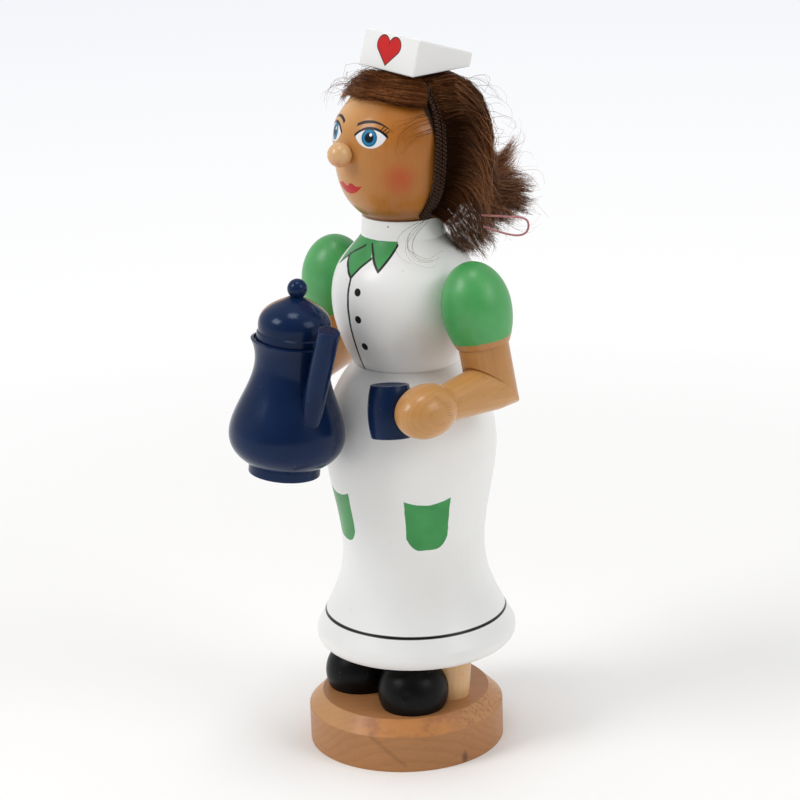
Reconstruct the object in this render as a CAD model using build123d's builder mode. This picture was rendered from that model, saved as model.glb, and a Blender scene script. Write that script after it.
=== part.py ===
from build123d import *
import os
from math import cos, radians, sin, tan

os.makedirs("parts", exist_ok=True)

# Driving dimensions in millimetres.
# The figure faces -Y, its left hand is on +X, and it stands on z = 0 at the centre of its base.

# Base, legs and shoes
base_radius = 28.0
base_height = 14.4
base_chamfer = 4.0
axis_y = 5.0  # turning axis of the figure, behind the centre of the base
leg_x = 13.5
leg_foot_radius = 5.5
leg_top_radius = 6.7
leg_tenon_radius = 3.0
leg_tenon_length = 6.0
shoe_centre = (11.0, -7.1, 18.6)
shoe_splay = 36.0
shoe_radius = 10.1
shoe_half_length = 10.4

# Skirt, with the spigot on which the upper body sits
hem_z = 29.0
hem_radius = 28.7
waist_z = 112.2
waist_radius = 15.1
spigot_radius = 9.0
spigot_height = 4.5
dish_radius = 7.0
dish_depth = 2.2
dish_wall = 0.5
dish_flange_radius = 8.3

# Bodice, with the incense chamber
chamber_radius = 9.3
chamber_top_z = 141.0
bust_radius = 20.6
bust_z = 131.5
collar_low_z = 148.5
collar_z = 154.0
collar_radius = 11.3
flue_radius = 5.0
draught_radius = 2.0
draught_z = 121.0

# Head
head_radius = 18.5
head_centre_z = 173.0
head_top_z = 191.2
head_seat_radius = 10.3
head_tenon_depth = 6.0
head_flue_radius = 3.2
head_flue_top_z = 161.0
smoke_radius = 1.7
smoke_z = 157.0
smoke_bearing = -33.0  # from the front, towards the figure's right
face_turn = -4.0  # the face looks a little to the figure's right
nose_radius = 3.35
nose_reach = 21.0
nose_z = 173.5
nose_peg_radius = 1.5
nose_peg_reach = 13.0

# Cap
cap_width = 21.8
cap_length = 21.5
cap_front_height = 9.8
cap_back_height = 3.7
cap_front_lean = 2.7
cap_front_y = 0.2
cap_z = 194.1
cap_tilt = 3.7
cap_edge = 0.3
cap_pad_radius = 5.4
cap_pad_y = 13.6
cap_pad_reach = 6.0  # below and above the top of the head, before it is cut to fit

# Hair
weft_forward = 2.6  # distance of the stitched weft in front of the turning axis
weft_radius = 1.5
weft_gap = 1.8  # from the weft's middle to the fringe and to the hair behind it
weft_lean = 11.8  # the weft leans back above weft_lean_z
weft_lean_z = 172.1
# The weft on the figure's left from foot to crown: sideways, behind the turning axis, height
weft_line = (
    (12.6, -2.6, 155.3),
    (18.2, -2.6, 163.0),
    (20.1, -2.5, 172.1),
    (17.4, -0.5, 182.1),
    (10.0, 1.0, 189.5),
)
weft_crown = (0.0, 1.6, 192.2)
hairline_z = 187.0  # at the forehead
hairline_slope = 0.22
fringe_thickness = 2.4
hair_neck_radius = 8.8  # the hair is open round the neck
thread_radius = 0.3

# Arms, the same turning for both
sleeve_radius = 9.6
sleeve_crown = 13.0  # shoulder top to the widest turn of the sleeve
sleeve_length = 23.0
sleeve_hem_radius = 7.3
arm_radius = 6.9
wrist_radius = 5.0
hand_radius = 7.3
hand_half_length = 9.5
forearm_length = 25.5  # elbow to the middle of the hand
left_shoulder = (27.5, 3.0, 144.9)
left_elbow = (32.3, 5.9, 110.6)
left_hand_aim = (33.6, -19.4, 109.5)
right_shoulder = (-26.8, 3.0, 143.8)
right_elbow = (-31.8, 5.9, 110.2)
right_hand_aim = (-20.2, -18.2, 107.0)
shoulder_flat_x = 20.3
shoulder_peg_radius = 2.0
shoulder_peg_depth = 6.0
shoulder_peg_z = 132.0

# Pot and cup
pot_foot = (-7.5, -35.5, 87.3)
pot_lean = (0.076, 0.084, 0.994)
pot_belly_radius = 16.0
pot_rim_radius = 11.7
pot_rim_height = 37.7
pot_neck_radius = 10.3
pot_foot_radius = 9.9
lid_radius = 10.2
lid_plug_radius = 8.0
lid_plug_depth = 3.0
lid_height = 49.9
knob_radius = 2.75
spout_heading = 79.0  # from the front towards the figure's left
spout_radius = 3.1
spout_foot = (10.7, 14.3)  # out from the pot's axis, up from its foot
spout_tip = (18.2, 45.3)
cup_centre = (20.1, -20.2, 106.9)
cup_lean = (-0.129, 0.116, 0.985)
cup_height = 14.3
cup_belly_radius = 6.2
cup_rim_radius = 5.2
cup_foot_radius = 5.4

figure_axis = Axis((0, axis_y, 0), (0, 0, 1))
figure_profile = Plane.XZ.offset(-axis_y)  # local x is the radius, local y the height


def keep(piece, name):
    piece.part.label = name
    export_step(piece.part, f"parts/{name}.step")


# Plane for a turned profile: local x runs along the turning axis, local y is the radius.
def along(origin, direction, across):
    return Plane(origin=origin, x_dir=direction, z_dir=across)


# Base
with BuildPart() as base_disc:
    Cylinder(base_radius, base_height, align=(Align.CENTER, Align.CENTER, Align.MIN))
    chamfer(base_disc.edges().group_by(Axis.Z)[-1], length=base_chamfer)
    with Locations((leg_x, axis_y, base_height), (-leg_x, axis_y, base_height)):
        Hole(radius=leg_tenon_radius, depth=leg_tenon_length)
keep(base_disc, "base_disc")


# Legs and shoes
def turn_leg(x):
    foot_z = base_height
    with BuildPart() as leg:
        with BuildSketch(Plane.XZ.offset(-axis_y)):
            with BuildLine():
                Polyline(
                    (x, foot_z - leg_tenon_length),
                    (x + leg_tenon_radius, foot_z - leg_tenon_length),
                    (x + leg_tenon_radius, foot_z),
                    (x + leg_foot_radius, foot_z),
                    (x + leg_top_radius, hem_z),
                    (x + leg_tenon_radius, hem_z),
                    (x + leg_tenon_radius, hem_z + leg_tenon_length),
                    (x, hem_z + leg_tenon_length),
                    close=True,
                )
            make_face()
        revolve(axis=Axis((x, axis_y, 0), (0, 0, 1)))
    return leg


with BuildPart() as shoe_egg:
    Sphere(shoe_radius)
    scale(by=(shoe_half_length / shoe_radius, 1, 1))


def cut_shoe(side):
    heading = radians(shoe_splay)
    toe = (side * sin(heading), -cos(heading), 0)
    centre = (side * shoe_centre[0], shoe_centre[1], shoe_centre[2])
    with BuildPart() as shoe:
        with Locations(Plane(origin=centre, x_dir=toe, z_dir=(0, 0, 1))):
            add(shoe_egg.part)
        split(bisect_by=Plane.XY.offset(base_height), keep=Keep.TOP)
        with Locations((side * leg_x, axis_y, base_height)):
            Cone(
                leg_foot_radius,
                leg_top_radius,
                hem_z - base_height,
                align=(Align.CENTER, Align.CENTER, Align.MIN),
                mode=Mode.SUBTRACT,
            )
    return shoe


left_leg = turn_leg(leg_x)
right_leg = turn_leg(-leg_x)
keep(left_leg, "left_leg")
keep(right_leg, "right_leg")
keep(cut_shoe(1), "left_shoe")
keep(cut_shoe(-1), "right_shoe")

# Skirt: one turning from the rounded hem to the spigot
spigot_z = waist_z + spigot_height
with BuildPart() as skirt:
    with BuildSketch(figure_profile):
        with BuildLine():
            Line((0, hem_z), (hem_radius - 1.6, hem_z))
            ThreePointArc(
                (hem_radius - 1.6, hem_z),
                (hem_radius, hem_z + 2.6),
                (hem_radius - 0.4, hem_z + 4.8),
            )
            Spline(
                (hem_radius - 0.4, hem_z + 4.8),
                (24.6, 41.0),
                (21.0, 51.0),
                (20.4, 59.5),
                (22.8, 76.0),
                (24.4, 90.0),
                (22.1, 101.0),
                (waist_radius, waist_z),
            )
            Polyline(
                (waist_radius, waist_z),
                (spigot_radius, waist_z),
                (spigot_radius, spigot_z),
                (dish_radius + 0.3, spigot_z),
                (dish_radius + 0.3, spigot_z - dish_depth),
                (0, spigot_z - dish_depth),
                (0, hem_z),
            )
        make_face()
    revolve(axis=figure_axis)
    add(left_leg.part, mode=Mode.SUBTRACT)
    add(right_leg.part, mode=Mode.SUBTRACT)
keep(skirt, "skirt")

# Pressed tin dish that holds the incense cone
dish_floor_z = spigot_z - dish_depth
with BuildPart() as incense_dish:
    with BuildSketch(figure_profile):
        with BuildLine():
            Polyline(
                (0, dish_floor_z),
                (dish_radius - 0.4, dish_floor_z),
                (dish_radius, spigot_z),
                (dish_flange_radius, spigot_z),
                (dish_flange_radius, spigot_z + dish_wall),
                (dish_radius - dish_wall, spigot_z + dish_wall),
                (dish_radius - dish_wall - 0.4, dish_floor_z + dish_wall),
                (0, dish_floor_z + dish_wall),
                close=True,
            )
        make_face()
    revolve(axis=figure_axis)
keep(incense_dish, "incense_dish")

# Bodice: turned outside, bored from below for the chamber and from above for the head
with BuildPart() as bodice:
    with BuildSketch(figure_profile):
        with BuildLine():
            Line((chamber_radius, waist_z), (waist_radius, waist_z))
            Spline(
                (waist_radius, waist_z),
                (18.6, 120.0),
                (bust_radius, bust_z),
                (18.6, 140.0),
                (13.0, 147.0),
                (collar_radius + 0.5, collar_low_z),
            )
            Polyline(
                (collar_radius + 0.5, collar_low_z),
                (collar_radius, collar_z),
                (flue_radius, collar_z),
                (flue_radius, chamber_top_z),
                (chamber_radius, chamber_top_z),
                (chamber_radius, waist_z),
            )
        make_face()
    revolve(axis=figure_axis)
    split(bisect_by=Plane.YZ.offset(shoulder_flat_x), keep=Keep.BOTTOM)
    split(bisect_by=Plane.YZ.offset(-shoulder_flat_x), keep=Keep.TOP)
    for side in (1, -1):
        with Locations(Plane((side * shoulder_flat_x, axis_y, shoulder_peg_z), z_dir=(side, 0, 0))):
            Hole(radius=shoulder_peg_radius, depth=shoulder_peg_depth)
    with Locations(Plane((0, axis_y + bust_radius, draught_z), z_dir=(0, 1, 0))):
        Hole(radius=draught_radius, depth=bust_radius)
keep(bodice, "bodice")

# Nose: a turned ball on a peg
face = Vector(sin(radians(face_turn)), -cos(radians(face_turn)), 0)
nose_root = Vector(0, axis_y, nose_z)
with BuildPart() as nose:
    with BuildSketch(along(nose_root, face, (0, 0, 1))):
        with BuildLine():
            Polyline(
                (nose_reach, 0),
                (nose_peg_reach, 0),
                (nose_peg_reach, nose_peg_radius),
                (nose_reach, nose_peg_radius),
                close=True,
            )
        make_face()
        with Locations((nose_reach, 0)):
            Circle(nose_radius)
        split(bisect_by=Plane.XZ, keep=Keep.BOTTOM)
    revolve(axis=Axis(nose_root, face))
keep(nose, "nose")

# Head: a turned ball on a tenon, with the flue and the smoke hole under the chin
with BuildPart() as head:
    with BuildSketch(figure_profile):
        with BuildLine():
            Polyline(
                (head_flue_radius, head_flue_top_z),
                (head_flue_radius, collar_z - head_tenon_depth),
                (flue_radius, collar_z - head_tenon_depth),
                (flue_radius, collar_z),
                (head_seat_radius, collar_z),
            )
            Spline(
                (head_seat_radius, collar_z),
                (17.2, 163.4),
                (head_radius, head_centre_z),
                (17.6, 180.4),
                (12.6, 187.6),
                (0, head_top_z),
                tangents=((1, 0.6), (-1, 0)),
            )
            Polyline((0, head_top_z), (0, head_flue_top_z), (head_flue_radius, head_flue_top_z))
        make_face()
    revolve(axis=figure_axis)
    smoke_way = Vector(sin(radians(smoke_bearing)), -cos(radians(smoke_bearing)), 0)
    with Locations(Plane(Vector(0, axis_y, smoke_z) + smoke_way * head_radius, z_dir=smoke_way)):
        Hole(radius=smoke_radius, depth=head_radius)
    add(nose.part, mode=Mode.SUBTRACT)
keep(head, "head")

# Cap: a wedge-shaped block, high in front, glued on a little askew
cap_right = Vector(cos(radians(cap_tilt)), 0, -sin(radians(cap_tilt)))
cap_up = Vector(sin(radians(cap_tilt)), 0, cos(radians(cap_tilt)))
cap_origin = Vector(0, cap_front_y, cap_z)
with BuildPart() as nurse_cap:
    with BuildSketch(Plane(origin=cap_origin, x_dir=(0, 1, 0), z_dir=cap_right)):
        with BuildLine():
            Polyline(
                (0, 0),
                (cap_length, 0),
                (cap_length + 1.0, cap_back_height),
                (cap_front_lean, cap_front_height),
                close=True,
            )
        make_face()
    extrude(amount=cap_width / 2, both=True)
    chamfer(nurse_cap.edges(), length=cap_edge)
keep(nurse_cap, "nurse_cap")

with BuildPart() as cap_pad:
    with BuildSketch(Plane.XY.offset(head_top_z - cap_pad_reach)):
        with Locations((0, cap_pad_y)):
            Circle(cap_pad_radius)
    extrude(amount=2 * cap_pad_reach)
    split(bisect_by=Plane(origin=cap_origin, x_dir=cap_right, z_dir=cap_up), keep=Keep.BOTTOM)
    add(head.part, mode=Mode.SUBTRACT)
keep(cap_pad, "cap_pad")

# Hair: fringe, stitched weft and the swept-back hair, as plain forms that turn with the face
hair_frame = Plane(origin=(0, axis_y, 0), x_dir=face.cross(Vector(0, 0, -1)), z_dir=(0, 0, 1))
hair_side = Plane(hair_frame.origin, x_dir=hair_frame.x_dir, z_dir=face)  # local z points to the face
hair_lean = Plane(
    hair_frame.from_local_coords((0, -weft_forward, weft_lean_z)),
    x_dir=hair_frame.x_dir,
    z_dir=face * cos(radians(weft_lean)) + Vector(0, 0, sin(radians(weft_lean))),
)
with BuildPart() as fringe:
    with BuildSketch(figure_profile):
        with BuildLine():
            inner = Spline((15.6, 182.0), (11.6, 187.0), (4.0, 190.2))
            outer = Spline((16.6 + fringe_thickness, 182.0), (16.9, 188.2), (4.0, 193.2))
            Line(inner @ 0, outer @ 0)
            Line(inner @ 1, outer @ 1)
        make_face()
    revolve(axis=figure_axis)
    split(bisect_by=hair_lean.offset(weft_gap), keep=Keep.TOP)
    split(bisect_by=Plane((0, -7.3, hairline_z), z_dir=(0, hairline_slope, 1)), keep=Keep.TOP)
    add(head.part, mode=Mode.SUBTRACT)
keep(fringe, "fringe")

with BuildPart() as hair_weft:
    weft_right = [(-x, back, height) for x, back, height in reversed(weft_line)]
    weft_points = [*weft_line, weft_crown, *weft_right]
    with BuildLine() as weft_path:
        Spline(*[hair_frame.from_local_coords(point) for point in weft_points])
    weft = weft_path.wire()
    with BuildSketch(Plane(origin=weft @ 0, z_dir=weft % 0)):
        Circle(weft_radius)
    sweep(path=weft)
    add(head.part, mode=Mode.SUBTRACT)
    add(bodice.part, mode=Mode.SUBTRACT)
keep(hair_weft, "hair_weft")

# Height, distance behind the origin, half width and half depth of the hair at that height
hair_sections = (
    (192.6, 9.5, 10.0, 10.0),
    (188.0, 8.5, 17.0, 16.0),
    (180.0, 9.0, 21.3, 20.0),
    (170.0, 9.5, 22.0, 20.5),
    (161.0, 12.0, 21.5, 21.5),
    (153.5, 19.5, 24.0, 26.0),
    (147.5, 22.0, 15.5, 16.5),
    (141.5, 24.5, 11.0, 9.0),
)
with BuildPart() as back_hair:
    for height, back, half_width, half_depth in hair_sections:
        with BuildSketch(Plane((0, back, height))):
            Ellipse(half_width, half_depth)
    loft(ruled=True)
    split(bisect_by=hair_side.offset(weft_forward - weft_gap), keep=Keep.BOTTOM)
    split(bisect_by=hair_lean.offset(-weft_gap), keep=Keep.BOTTOM)
    with Locations((0, axis_y, chamber_top_z)):
        Cylinder(
            hair_neck_radius,
            head_flue_top_z + 1.0 - chamber_top_z,
            align=(Align.CENTER, Align.CENTER, Align.MIN),
            mode=Mode.SUBTRACT,
        )
    add(head.part, mode=Mode.SUBTRACT)
    add(bodice.part, mode=Mode.SUBTRACT)
    add(cap_pad.part, mode=Mode.SUBTRACT)
keep(back_hair, "back_hair")

# Thread that ties the hair, in one loose loop that starts and ends in the hair
thread_route = (
    (15.0, 20.5, 152.8),
    (20.0, 26.5, 152.0),
    (20.6, 33.6, 150.4),
    (20.3, 33.2, 145.7),
    (19.9, 26.2, 146.6),
    (15.4, 20.8, 149.6),
)
thread_points = [Vector(*point) for point in thread_route]
thread_runs = [after - before for before, after in zip(thread_points, thread_points[1:])]
thread_bends = []
for run, next_run in zip(thread_runs, thread_runs[1:]):
    half_turn = radians(run.get_angle(next_run) / 2)
    thread_bends.append(0.45 * min(run.length, next_run.length) / tan(half_turn))
with BuildPart() as hair_thread:
    with BuildLine() as thread_path:
        FilletPolyline(*thread_route, radius=thread_bends)
    thread = thread_path.wire()
    with BuildSketch(Plane(origin=thread @ 0, z_dir=thread % 0)):
        RegularPolygon(thread_radius, 8)
    sweep(path=thread)
keep(hair_thread, "hair_thread")
print("thread bend radii", [round(bend, 2) for bend in thread_bends])
print("thread length", round(thread.length, 2))
print("thread volume", round(hair_thread.part.volume, 2))


# Pot: body, lid and spout, leaning as one
pot_plane = Plane(
    origin=pot_foot,
    x_dir=(sin(radians(spout_heading)), -cos(radians(spout_heading)), 0),
    z_dir=pot_lean,
)
pot_profile = Plane(origin=pot_foot, x_dir=pot_plane.x_dir, z_dir=-pot_plane.y_dir)
pot_axis = Axis(pot_foot, pot_lean)
with BuildPart() as pot_lid:
    with BuildSketch(pot_profile):
        with BuildLine():
            knob_foot = lid_height + 0.2
            Polyline(
                (0, knob_foot),
                (0, pot_rim_height - lid_plug_depth),
                (lid_plug_radius, pot_rim_height - lid_plug_depth),
                (lid_plug_radius, pot_rim_height - 0.6),
                (lid_radius, pot_rim_height - 0.6),
                (lid_radius, pot_rim_height + 2.0),
                (lid_radius - 0.4, pot_rim_height + 2.4),
            )
            Spline((lid_radius - 0.4, pot_rim_height + 2.4), (8.3, 46.0), (2.4, 49.7), (1.7, knob_foot))
            Line((1.7, knob_foot), (0, knob_foot))
        make_face()
    revolve(axis=pot_axis)
    with BuildSketch(pot_profile):
        with Locations((0, knob_foot + knob_radius - 0.7)):
            Circle(knob_radius)
        split(bisect_by=Plane.YZ, keep=Keep.TOP)
    revolve(axis=pot_axis)
keep(pot_lid, "pot_lid")

spout_start = pot_profile.from_local_coords(spout_foot)
spout_end = pot_profile.from_local_coords(spout_tip)
with BuildPart() as pot_spout:
    with BuildSketch(Plane(origin=spout_start, z_dir=spout_end - spout_start)):
        Circle(spout_radius)
    extrude(amount=(spout_end - spout_start).length)
    fillet(pot_spout.edges().sort_by(pot_axis)[-1], radius=0.35)
keep(pot_spout, "pot_spout")

with BuildPart() as pot_body:
    with BuildSketch(pot_profile):
        with BuildLine():
            Polyline((0, 0), (pot_foot_radius, 0), (pot_foot_radius, 2.6), (pot_foot_radius + 0.4, 2.8))
            Spline(
                (pot_foot_radius + 0.4, 2.8),
                (pot_belly_radius, 11.2),
                (13.9, 19.1),
                (pot_neck_radius, 29.9),
                (pot_rim_radius, pot_rim_height),
            )
            Polyline(
                (pot_rim_radius, pot_rim_height),
                (lid_radius + 0.7, pot_rim_height + 0.3),
                (lid_radius + 0.4, pot_rim_height - 0.6),
                (0, pot_rim_height - 0.6),
                (0, 0),
            )
        make_face()
    revolve(axis=pot_axis)
    add(pot_lid.part, mode=Mode.SUBTRACT)
    add(pot_spout.part, mode=Mode.SUBTRACT)
keep(pot_body, "pot_body")

# Cup: a small barrel with a dished top
cup_profile = along(cup_centre, cup_lean, Vector(*cup_lean).cross(Vector(0, 1, 0)))
with BuildPart() as cup:
    with BuildSketch(cup_profile):
        with BuildLine():
            half = cup_height / 2
            Line((-half, 0), (-half, cup_foot_radius))
            ThreePointArc((-half, cup_foot_radius), (0, cup_belly_radius), (half, cup_rim_radius))
            Polyline((half, cup_rim_radius), (half, cup_rim_radius - 0.6))
            Spline((half, cup_rim_radius - 0.6), (half - 0.7, 0), tangents=((-0.4, -1), (0, -1)))
            Line((half - 0.7, 0), (-half, 0))
        make_face()
    revolve(axis=Axis(cup_centre, cup_lean))
keep(cup, "cup")


# Arms: sleeve and upper arm in one turning, mitred to the forearm and hand
def turn_arm(side, top, bend, hand_aim, held):
    upper_way = (bend - top).normalized()
    fore_way = (hand_aim - bend).normalized()
    upper_length = (bend - top).length
    mitre = Plane(origin=bend, z_dir=upper_way + fore_way)
    with BuildPart() as upper_arm:
        with BuildSketch(along(top, upper_way, upper_way.cross(Vector(0, 1, 0)))):
            with BuildLine():
                crown = EllipticalCenterArc(
                    (sleeve_crown, 0), sleeve_crown, sleeve_radius, start_angle=90, arc_size=90
                )
                TangentArc(crown @ 0, (sleeve_length, sleeve_hem_radius), tangent=(1, 0))
                Polyline(
                    (sleeve_length, sleeve_hem_radius),
                    (sleeve_length, arm_radius),
                    (upper_length + 2 * arm_radius, arm_radius),
                    (upper_length + 2 * arm_radius, 0),
                    (0, 0),
                )
            make_face()
        revolve(axis=Axis(top, upper_way))
        split(bisect_by=mitre, keep=Keep.BOTTOM)
        split(bisect_by=Plane.YZ.offset(side * shoulder_flat_x), keep=Keep.TOP if side > 0 else Keep.BOTTOM)
        with Locations(Plane((side * shoulder_flat_x, axis_y, shoulder_peg_z), z_dir=(-side, 0, 0))):
            Hole(radius=shoulder_peg_radius, depth=shoulder_peg_depth)
    with BuildPart() as forearm:
        with BuildSketch(along(bend, fore_way, fore_way.cross(Vector(0, 0, 1)))):
            with BuildLine():
                palm = EllipticalCenterArc(
                    (forearm_length, 0), hand_half_length, hand_radius, start_angle=0, arc_size=137
                )
                Polyline(
                    palm @ 0,
                    (-2 * arm_radius, 0),
                    (-2 * arm_radius, arm_radius),
                    (0, arm_radius),
                    palm @ 1,
                )
            make_face()
        revolve(axis=Axis(bend, fore_way))
        split(bisect_by=mitre, keep=Keep.TOP)
        add(held.part, mode=Mode.SUBTRACT)
    with BuildPart() as peg:
        peg_x = side * (shoulder_flat_x - shoulder_peg_depth)
        with BuildSketch(Plane((peg_x, axis_y, shoulder_peg_z), z_dir=(side, 0, 0))):
            Circle(shoulder_peg_radius)
        extrude(amount=2 * shoulder_peg_depth)
    return upper_arm, forearm, peg


arms = (
    ("left", 1, left_shoulder, left_elbow, left_hand_aim, cup),
    ("right", -1, right_shoulder, right_elbow, right_hand_aim, pot_body),
)
for name, side, shoulder, elbow, hand_aim, held in arms:
    upper_arm, forearm, peg = turn_arm(side, Vector(shoulder), Vector(elbow), Vector(hand_aim), held)
    keep(upper_arm, f"{name}_upper_arm")
    keep(forearm, f"{name}_forearm")
    keep(peg, f"{name}_shoulder_peg")
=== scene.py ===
import math

import bpy
import numpy as np
from mathutils import Matrix, Vector


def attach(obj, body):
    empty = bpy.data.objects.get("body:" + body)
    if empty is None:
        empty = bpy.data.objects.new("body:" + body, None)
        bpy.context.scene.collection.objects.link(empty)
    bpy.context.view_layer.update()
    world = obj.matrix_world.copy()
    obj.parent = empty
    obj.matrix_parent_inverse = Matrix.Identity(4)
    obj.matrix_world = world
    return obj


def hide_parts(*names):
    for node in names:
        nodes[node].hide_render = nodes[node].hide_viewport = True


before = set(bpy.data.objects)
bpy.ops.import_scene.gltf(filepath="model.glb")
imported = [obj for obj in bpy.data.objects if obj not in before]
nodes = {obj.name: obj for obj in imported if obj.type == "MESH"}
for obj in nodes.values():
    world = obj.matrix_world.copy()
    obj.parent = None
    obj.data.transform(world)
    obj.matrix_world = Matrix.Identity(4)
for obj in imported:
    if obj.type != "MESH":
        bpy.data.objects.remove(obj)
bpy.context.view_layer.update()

mm = 0.001  # in metres
perMetre = 1000.0  # mm
figureAxis = (0.0, 5.0)  # turning axis of the figure in mm, x and y
headCentre = (0.0, 5.0, 173.0)
leftElbow = (32.3, 5.9, 110.6)
rightElbow = (-31.8, 5.9, 110.2)


# Camera at the photograph's angle, in metres and radians
photoCamera = {
    "azimuth": math.radians(48.0), "distance": 0.68127, "height": 0.31170,
    "pitch": 0.2998, "roll": -0.0342, "yaw": 0.0017, "lens": 114.36, "sensor": 36.0,
}


def placeCamera(view):
    turn = Matrix.Rotation(view["azimuth"], 3, "Z")
    upright = Vector((0, 0, 1))
    across = Vector((math.cos(view["yaw"]), -math.sin(view["yaw"]), 0))
    ahead = Vector((math.sin(view["yaw"]), math.cos(view["yaw"]), 0))
    lift = math.sin(view["pitch"]) * ahead + math.cos(view["pitch"]) * upright
    forward = math.cos(view["pitch"]) * ahead - math.sin(view["pitch"]) * upright
    right = math.cos(view["roll"]) * across + math.sin(view["roll"]) * lift
    up = -math.sin(view["roll"]) * across + math.cos(view["roll"]) * lift
    camera = bpy.data.objects.new("photoCamera", bpy.data.cameras.new("photoCamera"))
    camera.data.lens = view["lens"]
    camera.data.sensor_width = view["sensor"]
    camera.data.clip_start = 0.01
    camera.data.clip_end = 20.0
    place = turn @ Vector((0, -view["distance"], view["height"]))
    axes = Matrix((turn @ right, turn @ up, turn @ -forward)).transposed().to_4x4()
    camera.matrix_world = Matrix.Translation(place) @ axes
    bpy.context.scene.collection.objects.link(camera)
    bpy.context.scene.camera = camera


placeCamera(photoCamera)
print("camera placed")


# Wraps one socket of a node tree; sums on values add Math nodes
class Wire:
    def __init__(self, tree, socket=None):
        self.tree = tree
        self.socket = socket

    # Any node: its type, its settings, then the values or links of its sockets
    def node(self, kind, settings=None, sockets=None, out=0):
        made = self.tree.nodes.new(kind)
        for key, value in (settings or {}).items():
            if key == "bends":
                line = made.mapping.curves[0].points
                while len(line) < len(value):
                    line.new(0.5, 0.5)
                for point, place in zip(line, value):
                    point.location = place
                made.mapping.update()
            else:
                setattr(made, key, value)
        for key, value in (sockets or {}).items():
            if isinstance(value, Wire):
                self.tree.links.new(value.socket, made.inputs[key])
            elif isinstance(value, list):
                for each in value:
                    self.tree.links.new(each.socket, made.inputs[key])
            else:
                made.inputs[key].default_value = value
        return Wire(self.tree, made.outputs[out])

    def math(self, operation, *values, clamp=False):
        settings = {"operation": operation, "use_clamp": clamp}
        return self.node("ShaderNodeMath", settings, dict(enumerate(values)))

    def vector(self, operation, *values, out=0):
        return self.node("ShaderNodeVectorMath", {"operation": operation}, dict(enumerate(values)), out)

    def scaled(self, vector, amount):
        return self.node("ShaderNodeVectorMath", {"operation": "SCALE"}, {0: vector, 3: amount})

    def combined(self, x, y, z):
        return self.node("ShaderNodeCombineXYZ", None, {0: x, 1: y, 2: z})

    def hypot(self, across, along):
        return self.math("SQRT", across * across + along * along)

    def __add__(self, other):
        return self.math("ADD", self, other)

    def __radd__(self, other):
        return self.math("ADD", other, self)

    def __sub__(self, other):
        return self.math("SUBTRACT", self, other)

    def __rsub__(self, other):
        return self.math("SUBTRACT", other, self)

    def __mul__(self, other):
        return self.math("MULTIPLY", self, other)

    def __rmul__(self, other):
        return self.math("MULTIPLY", other, self)

    def __truediv__(self, other):
        return self.math("DIVIDE", self, other)

    def __rtruediv__(self, other):
        return self.math("DIVIDE", other, self)

    def __neg__(self):
        return self.math("MULTIPLY", self, -1.0)

    def __abs__(self):
        return self.math("ABSOLUTE", self)

    def __pow__(self, other):
        return self.math("POWER", self, other)

    def sine(self):
        return self.math("SINE", self)

    def least(self, *others):
        low = self
        for other in others:
            low = self.math("MINIMUM", low, other)
        return low

    def most(self, *others):
        high = self
        for other in others:
            high = self.math("MAXIMUM", high, other)
        return high

    def clamped(self):
        return self.math("ADD", self, 0.0, clamp=True)

    # 0 up to start, 1 from end on, straight between
    def ramp(self, start, end):
        return self.math("MULTIPLY", self - start, 1.0 / (end - start), clamp=True)


class Paint(Wire):
    def __init__(self, name):
        self.material = bpy.data.materials.new(name)
        self.material.use_nodes = True
        tree = self.material.node_tree
        super().__init__(tree)
        self.shader = next(n for n in tree.nodes if n.type == "BSDF_PRINCIPLED")
        self.spot = self.node("ShaderNodeTexCoord", out=3)  # Object coordinates, metres
        apart = tree.nodes.new("ShaderNodeSeparateXYZ")
        tree.links.new(self.spot.socket, apart.inputs[0])
        self.x, self.y, self.z = (Wire(tree, socket) * perMetre for socket in apart.outputs)  # mm

    # Degrees round an upright axis, from the front towards the figure's left
    def bearing(self, axis=figureAxis):
        return self.math("ARCTAN2", self.x - axis[0], axis[1] - self.y) * (180.0 / math.pi)

    # Distance in mm from a point in mm, along a direction
    def reach(self, start, way):
        place = self.vector("SUBTRACT", self.spot, tuple(v * mm for v in start))
        return self.vector("DOT_PRODUCT", place, tuple(way), out=1) * perMetre

    def noise(self, scale, detail=2.0, roughness=0.5, at=None):
        sockets = {"Vector": at or self.spot, "Scale": scale, "Detail": detail, "Roughness": roughness}
        return self.node("ShaderNodeTexNoise", None, sockets)

    def attribute(self, name):
        return self.node("ShaderNodeAttribute", {"attribute_name": name}, out=2)

    def blend(self, mask, under, over):
        under = under if isinstance(under, Wire) else (*under, 1.0)
        over = over if isinstance(over, Wire) else (*over, 1.0)
        return self.node("ShaderNodeMix", {"data_type": "RGBA"}, {0: mask, 6: under, 7: over}, 2)

    # Colours laid over one another, each through its mask
    def layers(self, colour, *coats):
        for mask, over in coats:
            colour = self.blend(mask, colour, over)
        return colour

    def bump(self, height, strength, distance=0.0002, under=None):
        sockets = {"Strength": strength, "Distance": distance, "Height": height}
        if under:
            sockets["Normal"] = under
        return self.node("ShaderNodeBump", None, sockets)

    # Sets the shader: wires are linked, plain numbers and colours set on the socket
    def finish(self, **looks):
        for key, value in looks.items():
            socket = self.shader.inputs[key.replace("_", " ")]
            if isinstance(value, Wire):
                self.tree.links.new(value.socket, socket)
            else:
                socket.default_value = (*value, 1.0) if isinstance(value, tuple) else value
        return self.material


def shaded(colour, share):
    return tuple(share * c for c in colour)


# Painted points, their degrees as mm round the surface, beside their heights
def unrolled(points, degree):
    return [(a * degree, b) for a, b in points]


# Distances inside painted shapes, in mm: positive inside, from two wires u and v
def insideDisc(u, v, centre, radius, tall=None):
    tall = tall or radius
    away = u.hypot((u - centre[0]) / radius, (v - centre[1]) / tall)
    return (1.0 - away) * min(radius, tall)


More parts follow.
